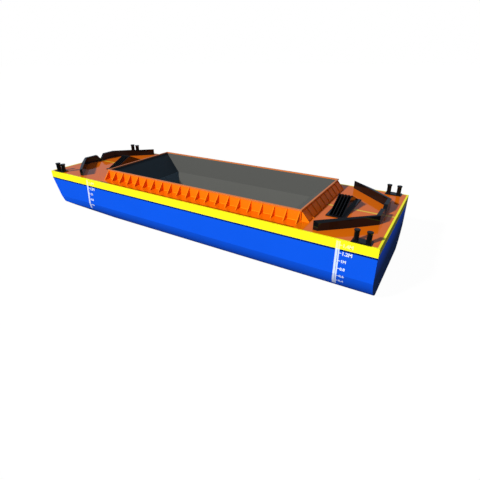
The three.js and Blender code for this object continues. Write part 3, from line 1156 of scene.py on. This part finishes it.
class BARGE_OT_decks(bpy.types.Operator):
    """Paint the deck plates, with the centreline stripe on both end decks"""

    bl_idname = "barge.decks"
    bl_label = "Decks"

    def execute(self, context):
        paints = context.scene.barge_paint
        end_paint = end_deck_paint(paints, context.scene.barge_hull.stripe_width)
        for name, _ in ENDS:
            paint_node(f"deck_{name}", end_paint)
        for name, side in SIDES:
            paint_node(f"deck_{name}", side_deck_light_and_shade_paint(paints, name, side))
        return {"FINISHED"}


class BARGE_OT_hold(bpy.types.Operator):
    """Paint the hold's lining and floor, whose bow wall throws no shadow on the rest"""

    bl_idname = "barge.hold"
    bl_label = "Hold"

    def execute(self, context):
        paints = context.scene.barge_paint
        knuckle = context.scene.barge_hull.hold_knuckle
        for name in nodes_under("hold_"):
            end_name = name.rpartition("_")[2]
            # Each wall's primer carries painted shade above the knuckle, and the bow wall painted
            # light below it.
            wall = paint_node(name, hold_primer_light_and_shade(paints, knuckle, end_name))
            wall.visible_shadow = end_name != "bow"
        return {"FINISHED"}


# How far a bracket reaches into the wall, how far its welds stop short of the corner and of its
# ends, and the leg of the weld along the coaming's foot as a share of the other welds' leg
BRACKET_BITE = 0.002
WELD_START = 0.012
WELD_STOP = 0.004
FOOT_WELD_SHARE = 2.4

UP, DOWN = (0, 0, 1), (0, 0, -1)


class BracketRow:
    """A row of brackets that stand out along X or Y from the outer face of a coaming wall."""

    def __init__(self, sizes, axis, face, outward, foot, height, centres):
        self.sizes, self.axis, self.face, self.outward = sizes, axis, face, outward
        self.foot, self.height, self.centres = foot, height, centres
        self.along = Vector((1, 0, 0)) if axis == "Y" else Vector((0, 1, 0))
        self.out = Vector((0, outward, 0)) if axis == "Y" else Vector((outward, 0, 0))
        self.base = DECK_TOP + SEAM

    def add_plates(self, bm):
        """Adds the brackets, drawn from inside the wall out along the deck and up."""
        toe, top = self.sizes.toe, self.base + self.height
        outline = []
        for reach, z in (
            (-BRACKET_BITE, self.base),
            (self.foot, self.base),
            (self.foot, self.base + toe),
            (toe, top),
            (-BRACKET_BITE, top),
        ):
            place = self.face + self.outward * reach
            outline.append((0.0, place, z) if self.axis == "Y" else (place, 0.0, z))
        half = self.sizes.bracket / 2
        for centre in self.centres:
            add_prism(bm, outline, self.along * (centre - half), self.along * (centre + half))

    def add_welds(self, bm):
        """Adds the fillet welds on both sides of each bracket, along the deck and up the wall."""
        leg = self.sizes.weld
        out, up = self.out, Vector(UP)
        wall = out * (self.face * self.outward)
        for centre in self.centres:
            for hand in (-1, 1):
                side = self.along * hand
                flank = self.along * (centre + hand * self.sizes.bracket / 2)
                corner = wall + flank + up * self.base
                foot_end = corner + out * (self.foot - WELD_STOP)
                head_end = corner + up * (self.height - WELD_STOP)
                add_fillet(bm, corner + out * WELD_START, foot_end, side, up, leg)
                add_fillet(bm, corner + up * WELD_START, head_end, side, out, leg)


class BARGE_OT_coamings(bpy.types.Operator):
    """Build the four coaming walls with their rows of brackets and welds"""

    bl_idname = "barge.coamings"
    bl_label = "Coamings"

    def execute(self, context):
        sizes = context.scene.barge_coaming
        paints = context.scene.barge_paint
        welds = bmesh.new()
        x0, x1 = RIM_BOW + sizes.overhang, RIM_STERN - sizes.overhang
        y = RIM_HALF_WIDTH - sizes.overhang - sizes.plate - SEAM
        for name, side in SIDES:
            face = side * (RIM_HALF_WIDTH - sizes.overhang)
            back = face - side * sizes.plate
            self.add_wall(name, (x0, min(face, back)), (x1, max(face, back)), sizes, paints)
            centres = spread(sizes.side_count, x0 + sizes.bracket, x1 - sizes.bracket)
            foot, height = sizes.side_foot, sizes.side_height
            row = BracketRow(sizes, "Y", face, side, foot, height, centres)
            self.add_row(name, row, welds, paints)
            self.add_long_welds(welds, (x0, face), (x1, face), (0, side, 0), sizes.weld)
        for name, end in ENDS:
            face = (RIM_STERN if end > 0 else RIM_BOW) - end * sizes.overhang
            back = face - end * sizes.plate
            self.add_wall(name, (min(face, back), -y), (max(face, back), y), sizes, paints)
            centres = spread(sizes.end_count, -y + sizes.bracket, y - sizes.bracket)
            foot, height = sizes.end_foot, sizes.end_height
            row = BracketRow(sizes, "X", face, end, foot, height, centres)
            self.add_row(name, row, welds, paints)
            self.add_apron(name, face, end, centres, sizes, paints)
            self.add_long_welds(welds, (face, -y), (face, y), (end, 0, 0), sizes.weld)
        # The welds take the brighter apron orange: a painted highlight along the coaming's foot and
        # brackets.
        finish = weld_finish("coaming_weld_painted_highlight", paints.apron, rough=(0.4, 0.5), specular=0.1)
        piece("coaming_welds", welds, finish)
        return {"FINISHED"}

    def add_wall(self, name, low, high, sizes, paints):
        """Adds one coaming wall between two corners of its plan."""
        bm = bmesh.new()
        add_box(bm, (*low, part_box("deck_stern")[0].z), (*high, RIM_FOOT - SEAM))
        round_edges(bm, sizes.edge)
        orange = coaming_paint(paints)
        wall = [f"coaming_{name}"]
        piece(f"coaming_wall_{name}", bm, orange, wall, SMOOTH_UNDER)

    def add_apron(self, name, face, end, centres, sizes, paints):
        """Adds the sloped plates between an end's brackets, a little inside their edges."""
        inset, thick = sizes.apron_inset, sizes.plate
        foot, height = sizes.end_foot - inset, sizes.end_height - inset
        base = DECK_TOP + SEAM
        outline = [
            (face + end * (foot - thick), 0.0, base),
            (face + end * foot, 0.0, base),
            (face + end * foot, 0.0, base + sizes.toe),
            (face + end * sizes.toe, 0.0, base + height),
            (face, 0.0, base + height),
            (face, 0.0, base + height - thick),
        ]
        bm = bmesh.new()
        clear = sizes.bracket / 2 + SEAM
        for left, right in zip(centres, centres[1:]):
            add_prism(bm, outline, Vector((0, left + clear, 0)), Vector((0, right - clear, 0)))
        bmesh.ops.recalc_face_normals(bm, faces=bm.faces)
        round_edges(bm, sizes.edge)
        # The aprons' brighter orange is painted light in their shade.
        orange = plate_paint_light_and_shade("apron_orange_painted_light", paints.apron)
        piece(f"coaming_apron_{name}", bm, orange, (), SMOOTH_UNDER)

    def add_row(self, name, row, welds, paints):
        """Adds one row of brackets, which throw no shadow, with its welds."""
        bm = bmesh.new()
        row.add_plates(bm)
        bmesh.ops.recalc_face_normals(bm, faces=bm.faces)
        round_edges(bm, row.sizes.edge)
        # The brackets' darker orange is painted shade.
        orange = plate_paint_light_and_shade("bracket_orange_painted_shade", paints.bracket)
        brackets = piece(f"brackets_{name}", bm, orange, (), SMOOTH_UNDER)
        brackets.visible_shadow = False
        row.add_welds(welds)

    def add_long_welds(self, bm, start, end, outward, leg):
        """Adds the welds along a wall's foot and under its rim, between two points of its plan."""
        top = RIM_FOOT - SEAM
        foot_leg = leg * FOOT_WELD_SHARE
        add_fillet(bm, (*start, DECK_TOP), (*end, DECK_TOP), outward, UP, foot_leg)
        add_fillet(bm, (*start, top), (*end, top), outward, DOWN, leg)


class BARGE_OT_rim(bpy.types.Operator):
    """Build the flat bar that caps the coaming all round"""

    bl_idname = "barge.rim"
    bl_label = "Coaming rim"

    def execute(self, context):
        bm = bmesh.new()
        outer = (RIM_BOW, -RIM_HALF_WIDTH, RIM_STERN, RIM_HALF_WIDTH)
        add_frame(bm, outer, RIM_WIDTH, RIM_FOOT, RIM_TOP)
        round_edges(bm, RIM_EDGE, 3)
        orange = rim_paint_and_sheen(context.scene.barge_paint)
        bars = nodes_under("coaming_rim_")
        piece("coaming_rim", bm, orange, bars, SMOOTH_UNDER)
        return {"FINISHED"}


class BARGE_OT_breakwaters(bpy.types.Operator):
    """Build the breakwaters' wings and notched bumpers with rounded plate edges"""

    bl_idname = "barge.breakwaters"
    bl_label = "Breakwaters"

    def execute(self, context):
        black = black_paint(context.scene.barge_paint)
        edge = context.scene.barge_fittings.edge
        for end, _ in ENDS:
            for name in (f"bumper_{end}", f"wing_{end}_port", f"wing_{end}_starboard"):
                add_rounded_fitting(name, f"breakwater_{name}", edge, 3, black)
        return {"FINISHED"}


# A bitt post's foot, as (how far it stands out, height) pairs; the share of its cap's flare that
# grows evenly, with the rest growing faster upwards; the faces up the flare and round the cap's
# corner; that corner's radius; and the ring in the cap's top as a share of its radius
POST_FOOT = ((0.009, 0.0), (0.004, 0.004), (0.0, 0.011))
EVEN_FLARE = 0.35
FLARE_STEPS = 8
CAP_STEPS = 4
CAP_CORNER = 0.005
CAP_RING = 0.55


def post_profile(sizes, height, post_radius, cap_radius):
    """A bitt post's profile from its foot to its crown: (radius, height) pairs."""
    points = [(0.0, 0.0)]
    points += [(post_radius + out, up) for out, up in POST_FOOT]
    flare_from = height - sizes.post_rim - sizes.post_flare
    for t in spread(FLARE_STEPS + 1, 0.0, 1.0):
        growth = EVEN_FLARE * t + (1 - EVEN_FLARE) * t * t
        radius = post_radius + (cap_radius - post_radius) * growth
        points.append((radius, flare_from + sizes.post_flare * t))
    for turn in spread(CAP_STEPS + 1, 0.0, math.pi / 2):
        radius = cap_radius - CAP_CORNER + CAP_CORNER * math.cos(turn)
        points.append((radius, height - CAP_CORNER + CAP_CORNER * math.sin(turn)))
    return [*points, (cap_radius * CAP_RING, height), (0.0, height)]


class BARGE_OT_bitts(bpy.types.Operator):
    """Build the twin mooring bitts with turned posts on bevelled bases"""

    bl_idname = "barge.bitts"
    bl_label = "Mooring bitts"

    def execute(self, context):
        black = black_paint(context.scene.barge_paint)
        sizes = context.scene.barge_fittings
        for end, _ in ENDS:
            post_radius = sizes.bow_post if end == "bow" else sizes.stern_post
            cap_growth = sizes.bow_cap if end == "bow" else 0.0
            for side, _ in SIDES:
                base = f"bitt_base_{end}_{side}"
                add_rounded_fitting(f"bitt_plate_{end}_{side}", base, SMALL_EDGE, 2, black)
                for post in POSTS:
                    node = f"bitt_post_{end}_{side}_{post}"
                    low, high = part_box(node)
                    middle = (low + high) / 2
                    cap_radius = (high.y - low.y) / 2 + cap_growth
                    profile = post_profile(sizes, high.z - low.z, post_radius, cap_radius)
                    bm = bmesh.new()
                    add_lathe(bm, profile, (middle.x, middle.y, low.z))
                    name = f"bollard_{end}_{side}_{post}"
                    piece(name, bm, black, [node], SMOOTH_TURNED)
        return {"FINISHED"}


# Points round a rib's head, the angle in degrees from which a rib's edges are rounded, how much is
# cut off the ends of bosses and pins, and the faces round them
HEAD_POINTS = 13
RIB_ROUND_OVER = 40.0
PIN_CUT = 0.003
BOSS_FACES = 48
PIN_FACES = 32


def rib_outline(sizes, reach, foot_z, apex_z):
    """A rib's outline in the YZ plane: straight flanks that run smoothly into a round head."""
    toe_z = foot_z + sizes.rib_toe
    radius = sizes.head_radius
    lean = math.asin(radius / math.hypot(reach, apex_z - toe_z))
    slope = math.atan2(apex_z - toe_z, reach)
    start = math.pi / 2 - (slope + lean)
    head = []
    for turn in spread(HEAD_POINTS, start, math.pi - start):
        head.append((0.0, radius * math.cos(turn), apex_z + radius * math.sin(turn)))
    foot = [(0.0, -reach, foot_z), (0.0, reach, foot_z), (0.0, reach, toe_z)]
    return [*foot, *head, (0.0, -reach, toe_z)]


def pin_profile(radius, half):
    """The profile of a boss or pin with its ends' corners cut: (radius, distance) pairs."""
    return [
        (0, -half),
        (radius - PIN_CUT, -half),
        (radius, -half + PIN_CUT),
        (radius, half - PIN_CUT),
        (radius - PIN_CUT, half),
        (0, half),
    ]


class BARGE_OT_stands(bpy.types.Operator):
    """Build the ribbed centreline stands with round heads on a cross pin"""

    bl_idname = "barge.stands"
    bl_label = "Ribbed stands"

    def execute(self, context):
        black = black_paint(context.scene.barge_paint)
        sizes = context.scene.barge_fittings
        thick = Vector((sizes.rib_thickness / 2, 0, 0))
        for end, _ in ENDS:
            base, ribs = f"stand_base_{end}", f"stand_ribs_{end}"
            add_rounded_fitting(f"stand_plate_{end}", base, STAND_EDGE, 3, black)
            low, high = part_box(ribs)
            middle = (low + high) / 2
            apex_z = high.z - sizes.head_radius
            outline = rib_outline(sizes, high.y, low.z, apex_z)
            reach = (sizes.rib_count - 1) * sizes.rib_spacing / 2
            places = spread(sizes.rib_count, middle.x - reach, middle.x + reach)
            bm = bmesh.new()
            for x in places:
                add_prism(bm, outline, Vector((x, 0, 0)) - thick, Vector((x, 0, 0)) + thick)
            bmesh.ops.recalc_face_normals(bm, faces=bm.faces)
            round_edges(bm, SMALL_EDGE, 2, RIB_ROUND_OVER)
            boss = pin_profile(sizes.head_radius, sizes.boss / 2)
            for x in places:
                add_lathe(bm, boss, (x, 0, apex_z), "X", BOSS_FACES)
            pin = pin_profile(sizes.pin_radius, (high.x - low.x) / 2)
            add_lathe(bm, pin, (middle.x, 0, apex_z), "X", PIN_FACES)
            piece(f"ribs_{end}", bm, black, [ribs], SMOOTH_TURNED)
        return {"FINISHED"}


class BARGE_OT_fitting_welds(bpy.types.Operator):
    """Weld the deck fittings to the deck"""

    bl_idname = "barge.fitting_welds"
    bl_label = "Fitting welds"

    def execute(self, context):
        scene = context.scene
        leg = scene.barge_coaming.weld
        bm = bmesh.new()
        for name in nodes_under("bitt_base_", "stand_base_", "breakwater_"):
            ring = plan_outline(name)
            for start, end in zip(ring, ring[1:] + ring[:1]):
                run = end - start
                add_fillet(bm, start, end, (run.y, -run.x, 0), UP, leg)
        tone = scene.barge_paint.fittings
        finish = weld_finish("fitting_weld_paint", tone, rough=(0.3, 0.4), specular=0.3)
        piece("fitting_welds", bm, finish)
        return {"FINISHED"}


# A corner this near a node's foot counts as part of it
FOOT_WITHIN = 1e-4


def plan_outline(name):
    """The corners of a node's foot on the deck, anticlockwise."""
    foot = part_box(name)[0].z
    bm = joined_solid(name)
    under = [f for f in bm.faces if all(abs(v.co.z - foot) < FOOT_WITHIN for v in f.verts)]
    widest = max(under, key=lambda f: f.calc_area())
    ring = [v.co.copy() for v in widest.verts]
    bm.free()
    twice_area = sum(a.x * b.y - b.x * a.y for a, b in zip(ring, ring[1:] + ring[:1]))
    return ring if twice_area > 0 else ring[::-1]


# Draught marks, laid down the side from the deck's edge and round the bilge turn

# Faces down a strip above and below the bilge knuckle, and along a tick
STRIP_STEPS = (12, 48)
TICK_STEPS = 2

# A tick's half heights at the strip and at its tip, its length, and where its numeral starts
TICK_ROOT, TICK_TIP = 0.012, 0.006
TICK_LENGTH = 0.05
NUMERAL_START = 0.055

# Readings under the first value have smaller numerals, and under the second no unit
SMALL_UNDER = 1.1
SMALL_SHARE = 0.8
UNITLESS_UNDER = 0.95

# Height of a numeral as a share of the type's size, and the steps in its curves
NUMERAL_SHARE = 0.7
NUMERAL_STEPS = 3

# Share of the paint film's thickness that is a mark's body, so that it stays off the plating
FILM_BODY = 0.95


def side_path(hull, arc, chine, film, x):
    """Points (distance down the side, y, height) at x, a film's thickness off the side's skin."""
    points = [(HALF_BEAM, DECK_TOP), (HALF_BEAM, hull.bilge_height)]
    for k in range(1, hull.bilge_steps + 1):
        inset, z = turn_point(hull, arc, chine, k, x)
        points.append((HALF_BEAM - inset, z))
    path = []
    reached = 0.0
    for k, (y, z) in enumerate(points):
        (ya, za), (yb, zb) = points[max(k - 1, 0)], points[min(k + 1, len(points) - 1)]
        run = Vector((yb - ya, zb - za)).normalized()
        if k:
            reached += math.hypot(y - points[k - 1][0], z - points[k - 1][1])
        path.append((reached, y - run.y * film, z + run.x * film))
    return path


def on_side(path, down):
    """The (y, z) of the side's skin at a distance down from the deck's edge."""
    for (s0, y0, z0), (s1, y1, z1) in zip(path, path[1:]):
        if down <= s1:
            t = (down - s0) / (s1 - s0)
            return y0 + (y1 - y0) * t, z0 + (z1 - z0) * t
    return path[-1][1:]


class SideSkin:
    """Lays painted shapes on one side of the hull.

    Shapes are given as (across, down): the place along the hull and the distance down the side.
    """

    def __init__(self, bm, hull, film, side):
        self.bm, self.hull, self.film, self.side = bm, hull, film, side
        self.arc, self.chine = bilge_arc(hull), bow_chine(hull)
        self.paths = {}

    def vertex(self, across, down):
        """Adds a vertex, and keeps each place's path for the next one there."""
        key = round(across, 5)
        if key not in self.paths:
            self.paths[key] = side_path(self.hull, self.arc, self.chine, self.film, across)
        y, z = on_side(self.paths[key], down)
        return self.bm.verts.new((across, self.side * y, z))

    def patch(self, quad, steps):
        """Adds a four-sided shape from its corners: two above, then two below in reverse."""
        (a0, d0), (a1, d1), (a2, d2), (a3, d3) = quad
        rows = []
        for k in range(steps + 1):
            t = k / steps
            left = self.vertex(a0 + (a3 - a0) * t, d0 + (d3 - d0) * t)
            right = self.vertex(a1 + (a2 - a1) * t, d1 + (d2 - d1) * t)
            rows.append((left, right))
        for (a, b), (c, d) in zip(rows, rows[1:]):
            self.bm.faces.new((a, b, d, c))

    def thicken(self):
        """Gives the painted shapes a body, from their outer face in to the plating."""
        self.bm.normal_update()
        for face in self.bm.faces:
            if face.normal.y * self.side < 0:
                face.normal_flip()
        bmesh.ops.solidify(self.bm, geom=self.bm.faces[:], thickness=self.film * FILM_BODY)


def text_outline(words, height, boldness):
    """The filled outline of plain numerals as vertices (across, up) and faces."""
    curve = bpy.data.curves.new("numerals", "FONT")
    curve.body = words
    curve.size = height / NUMERAL_SHARE
    curve.offset = boldness
    curve.resolution_u = NUMERAL_STEPS
    holder = bpy.data.objects.new("numerals", curve)
    bpy.context.scene.collection.objects.link(holder)
    bpy.context.view_layer.update()
    mesh = holder.to_mesh()
    points = [(v.co.x, v.co.y) for v in mesh.vertices]
    faces = [list(p.vertices) for p in mesh.polygons]
    holder.to_mesh_clear()
    bpy.data.objects.remove(holder)
    bpy.data.curves.remove(curve)
    return points, faces


class Strip:
    """The run of a draught strip down the side, by distance from the deck."""

    def __init__(self, head_x, width, lean, turn_lean, foot, knuckle):
        self.head_x, self.width, self.lean, self.turn_lean = head_x, width, lean, turn_lean
        self.foot, self.knuckle = foot, knuckle

    def middle(self, down):
        """Place of the strip's middle along the hull."""
        above = min(down / self.knuckle, 1.0)
        below = max(down - self.knuckle, 0.0) / (self.foot - self.knuckle)
        return self.head_x + self.lean * above + self.turn_lean * below


class BARGE_OT_draught_marks(bpy.types.Operator):
    """Paint the four draught strips with their ticks and numerals"""

    bl_idname = "barge.draught_marks"
    bl_label = "Draught marks"

    def execute(self, context):
        marks, hull = context.scene.barge_marks, context.scene.barge_hull
        knuckle = DECK_TOP - hull.bilge_height
        white = mark_paint(context.scene.barge_paint)
        aft = (marks.aft_x, marks.aft_width, 0.0, marks.aft_turn_lean, marks.aft_foot)
        fore = (marks.fore_x, marks.fore_width, marks.fore_lean, marks.fore_turn_lean)
        strips = {"aft": Strip(*aft, knuckle), "fore": Strip(*fore, marks.fore_foot, knuckle)}
        for side_name, side in SIDES:
            for end_name, strip in strips.items():
                bm = bmesh.new()
                skin = SideSkin(bm, hull, marks.film, side)
                self.add_strip(skin, strip, marks)
                reading, down = marks.first_reading, marks.first_down
                while down < strip.foot - marks.numeral / 2:
                    self.add_mark(skin, strip, down, reading, marks)
                    reading -= marks.step
                    down += marks.step
                skin.thicken()
                piece(f"draught_marks_{end_name}_{side_name}", bm, white)
        return {"FINISHED"}

    def add_strip(self, skin, strip, marks):
        """Adds the strip in two bands with a narrow bare line between them."""
        width = strip.width
        bare = marks.gap_at * width
        runs = ((marks.strip_head, strip.knuckle), (strip.knuckle, strip.foot))
        for left, right in ((-width / 2, bare), (bare + marks.gap, width / 2)):
            for (top, bottom), steps in zip(runs, STRIP_STEPS):
                quad = [
                    (strip.middle(top) + left, top),
                    (strip.middle(top) + right, top),
                    (strip.middle(bottom) + right, bottom),
                    (strip.middle(bottom) + left, bottom),
                ]
                skin.patch(quad, steps)

    def add_mark(self, skin, strip, down, reading, marks):
        """Adds one tick with its numeral, which reads from left to right on both sides."""
        hand = -skin.side
        edge = strip.width / 2
        middle = strip.middle(down)
        root, tip = middle + hand * edge, middle + hand * (edge + TICK_LENGTH)
        tick = [
            (root, down - TICK_ROOT),
            (tip, down - TICK_TIP),
            (tip, down + TICK_TIP),
            (root, down + TICK_ROOT),
        ]
        skin.patch(tick, TICK_STEPS)
        words = f"{reading:.1f}" if reading < UNITLESS_UNDER else f"{reading:g}M"
        size = marks.numeral * (SMALL_SHARE if reading < SMALL_UNDER else 1.0)
        points, faces = text_outline(words, size, marks.boldness)
        start, base = edge + NUMERAL_START, down + size / 2
        verts = [skin.vertex(middle + hand * (start + across), base - up) for across, up in points]
        for face in faces:
            skin.bm.faces.new([verts[k] for k in face])


# Stage


# Floor: how far it lies under the hull, how bright the camera sees it and how much of the hull's
# shadow shows on it, its dull tone for soft bounced light, and what glossy paint mirrors of it
FLOOR_DROP = 0.002
FLOOR_SEEN = 0.978
FLOOR_SHADED = (0.022, 0.022, 0.022, 1)
FLOOR_DULL = (0.16, 0.18, 0.22, 1)
FLOOR_MIRRORED = ((0.5, 0.75, 1.0, 1), 0.04)

# Surround: the tone of its soft light, and the tone and strength that glossy paint mirrors
SOFT_TONE = (0.92, 0.92, 1.0, 1)
SKY_MIRRORED = ((0.6, 0.76, 1.0, 1), 0.34)
WHITE = (1, 1, 1, 1)

# Camera: its sensor's width in millimetres, the small off-centre shift of the photograph, and how
# far it sees
SENSOR_WIDTH = 36.0
CAMERA_SHIFT = (-0.00227, -0.02323)
SEES_TO = 2000.0


def by_ray(tree, ray, kind, usual, special):
    """Picks a shader of its own for one kind of ray, and the usual one for all others."""
    inputs = {0: ray.outputs[kind], 1: usual.outputs[0], 2: special.outputs[0]}
    return add(tree, "ShaderNodeMixShader", inputs)


def make_floor(size):
    """A floor that the camera sees almost white, and that throws little light on the hull."""
    bm = bmesh.new()
    corners = ((-1, -1), (1, -1), (1, 1), (-1, 1))
    bm.faces.new([bm.verts.new((x * size, y * size, 0.0)) for x, y in corners])
    mesh = bpy.data.meshes.new("floor")
    bm.to_mesh(mesh)
    bm.free()
    floor = bpy.data.objects.new("floor", mesh)
    bpy.context.scene.collection.objects.link(floor)
    floor.location.z = -FLOOR_DROP
    material = bpy.data.materials.new("floor_pale")
    material.use_nodes = True
    tree = material.node_tree
    tree.nodes.clear()
    ray = tree.nodes.new("ShaderNodeLightPath")
    bright = add(tree, "ShaderNodeEmission", {"Color": WHITE, "Strength": FLOOR_SEEN})
    shaded = add(tree, "ShaderNodeBsdfDiffuse", {"Color": FLOOR_SHADED})
    seen = add(tree, "ShaderNodeAddShader", {0: shaded.outputs[0], 1: bright.outputs[0]})
    dull = add(tree, "ShaderNodeBsdfDiffuse", {"Color": FLOOR_DULL})
    tone, strength = FLOOR_MIRRORED
    mirrored = add(tree, "ShaderNodeEmission", {"Color": tone, "Strength": strength})
    bounced = by_ray(tree, ray, "Is Glossy Ray", dull, mirrored)
    chosen = by_ray(tree, ray, "Is Camera Ray", bounced, seen)
    add(tree, "ShaderNodeOutputMaterial", {"Surface": chosen.outputs[0]})
    mesh.materials.append(material)


def make_world(strength):
    """A white surround for the camera, and a soft blue-white light from all round."""
    world = bpy.data.worlds.new("studio")
    bpy.context.scene.world = world
    world.use_nodes = True
    tree = world.node_tree
    tree.nodes.clear()
    ray = tree.nodes.new("ShaderNodeLightPath")
    white = add(tree, "ShaderNodeBackground", {"Color": WHITE, "Strength": 1.0})
    soft = add(tree, "ShaderNodeBackground", {"Color": SOFT_TONE, "Strength": strength})
    sky_tone, sky_strength = SKY_MIRRORED
    sky = add(tree, "ShaderNodeBackground", {"Color": sky_tone, "Strength": sky_strength})
    lit = by_ray(tree, ray, "Is Glossy Ray", soft, sky)
    chosen = by_ray(tree, ray, "Is Camera Ray", lit, white)
    add(tree, "ShaderNodeOutputWorld", {"Surface": chosen.outputs[0]})


def make_key(stage):
    """The main light, from ahead and to port, which leaves no glint on the paint."""
    lamp = bpy.data.lights.new("key", "SUN")
    lamp.energy = stage.key_strength
    lamp.angle = stage.key_spread
    light = bpy.data.objects.new("key", lamp)
    bpy.context.scene.collection.objects.link(light)
    light.visible_glossy = False
    light.rotation_mode = "QUATERNION"
    light.rotation_quaternion = Vector(stage.key_from).to_track_quat("Z", "Y")


def make_camera(stage):
    """The camera where the photograph was taken from, with its small off-centre shift."""
    data = bpy.data.cameras.new("camera")
    data.sensor_width = SENSOR_WIDTH
    data.lens = stage.lens
    data.shift_x, data.shift_y = CAMERA_SHIFT
    data.clip_end = SEES_TO
    camera = bpy.data.objects.new("camera", data)
    bpy.context.scene.collection.objects.link(camera)
    level, drop = math.cos(stage.pitch), -math.sin(stage.pitch)
    forward = Vector((-math.sin(stage.yaw) * level, math.cos(stage.yaw) * level, drop))
    right = Vector((math.cos(stage.yaw), math.sin(stage.yaw), 0.0))
    down = forward.cross(right)
    turned_right = right * math.cos(stage.roll) + down * math.sin(stage.roll)
    turned_down = -right * math.sin(stage.roll) + down * math.cos(stage.roll)
    axes = Matrix((turned_right, -turned_down, -forward)).transposed()
    camera.matrix_world = Matrix.Translation(stage.camera_at) @ axes.to_4x4()
    bpy.context.scene.camera = camera


class BARGE_OT_stage(bpy.types.Operator):
    """Set up the floor, the light and the camera"""

    bl_idname = "barge.stage"
    bl_label = "Stage"

    def execute(self, context):
        stage = context.scene.barge_stage
        context.scene.view_settings.view_transform = "Standard"
        make_floor(stage.floor_size)
        make_world(stage.ambient)
        make_key(stage)
        make_camera(stage)
        return {"FINISHED"}


# The scene's property groups, and the operators in the order that they run in
SETTINGS = (
    ("barge_paint", BargePaint),
    ("barge_hull", BargeHull),
    ("barge_coaming", BargeCoaming),
    ("barge_fittings", BargeFittings),
    ("barge_marks", BargeMarks),
    ("barge_stage", BargeStage),
)
STEPS = (
    BARGE_OT_stage,
    BARGE_OT_hull,
    BARGE_OT_sheer_band,
    BARGE_OT_decks,
    BARGE_OT_hold,
    BARGE_OT_coamings,
    BARGE_OT_rim,
    BARGE_OT_breakwaters,
    BARGE_OT_bitts,
    BARGE_OT_stands,
    BARGE_OT_fitting_welds,
    BARGE_OT_draught_marks,
)


class BARGE_PT_panel(bpy.types.Panel):
    """Lists the barge's settings and the steps that build it"""

    bl_idname = "BARGE_PT_panel"
    bl_label = "River barge"
    bl_space_type = "VIEW_3D"
    bl_region_type = "UI"
    bl_category = "Barge"

    def draw(self, context):
        layout = self.layout
        for step in STEPS:
            layout.operator(step.bl_idname)
        for key, group in SETTINGS:
            box = layout.box()
            settings = getattr(context.scene, key)
            for name in group.__annotations__:
                box.prop(settings, name)


def register():
    """Registers the settings, the steps and the panel."""
    for key, group in SETTINGS:
        bpy.utils.register_class(group)
        setattr(bpy.types.Scene, key, PointerProperty(type=group))
    for step in STEPS:
        bpy.utils.register_class(step)
    bpy.utils.register_class(BARGE_PT_panel)


def unregister():
    """Takes everything back that register set up."""
    bpy.utils.unregister_class(BARGE_PT_panel)
    for step in reversed(STEPS):
        bpy.utils.unregister_class(step)
    for key, group in reversed(SETTINGS):
        delattr(bpy.types.Scene, key)
        bpy.utils.unregister_class(group)


def main():
    """Builds every piece in order."""
    register()
    for step in STEPS:
        family, name = step.bl_idname.split(".")
        getattr(getattr(bpy.ops, family), name)()


if __name__ == "__main__":
    main()
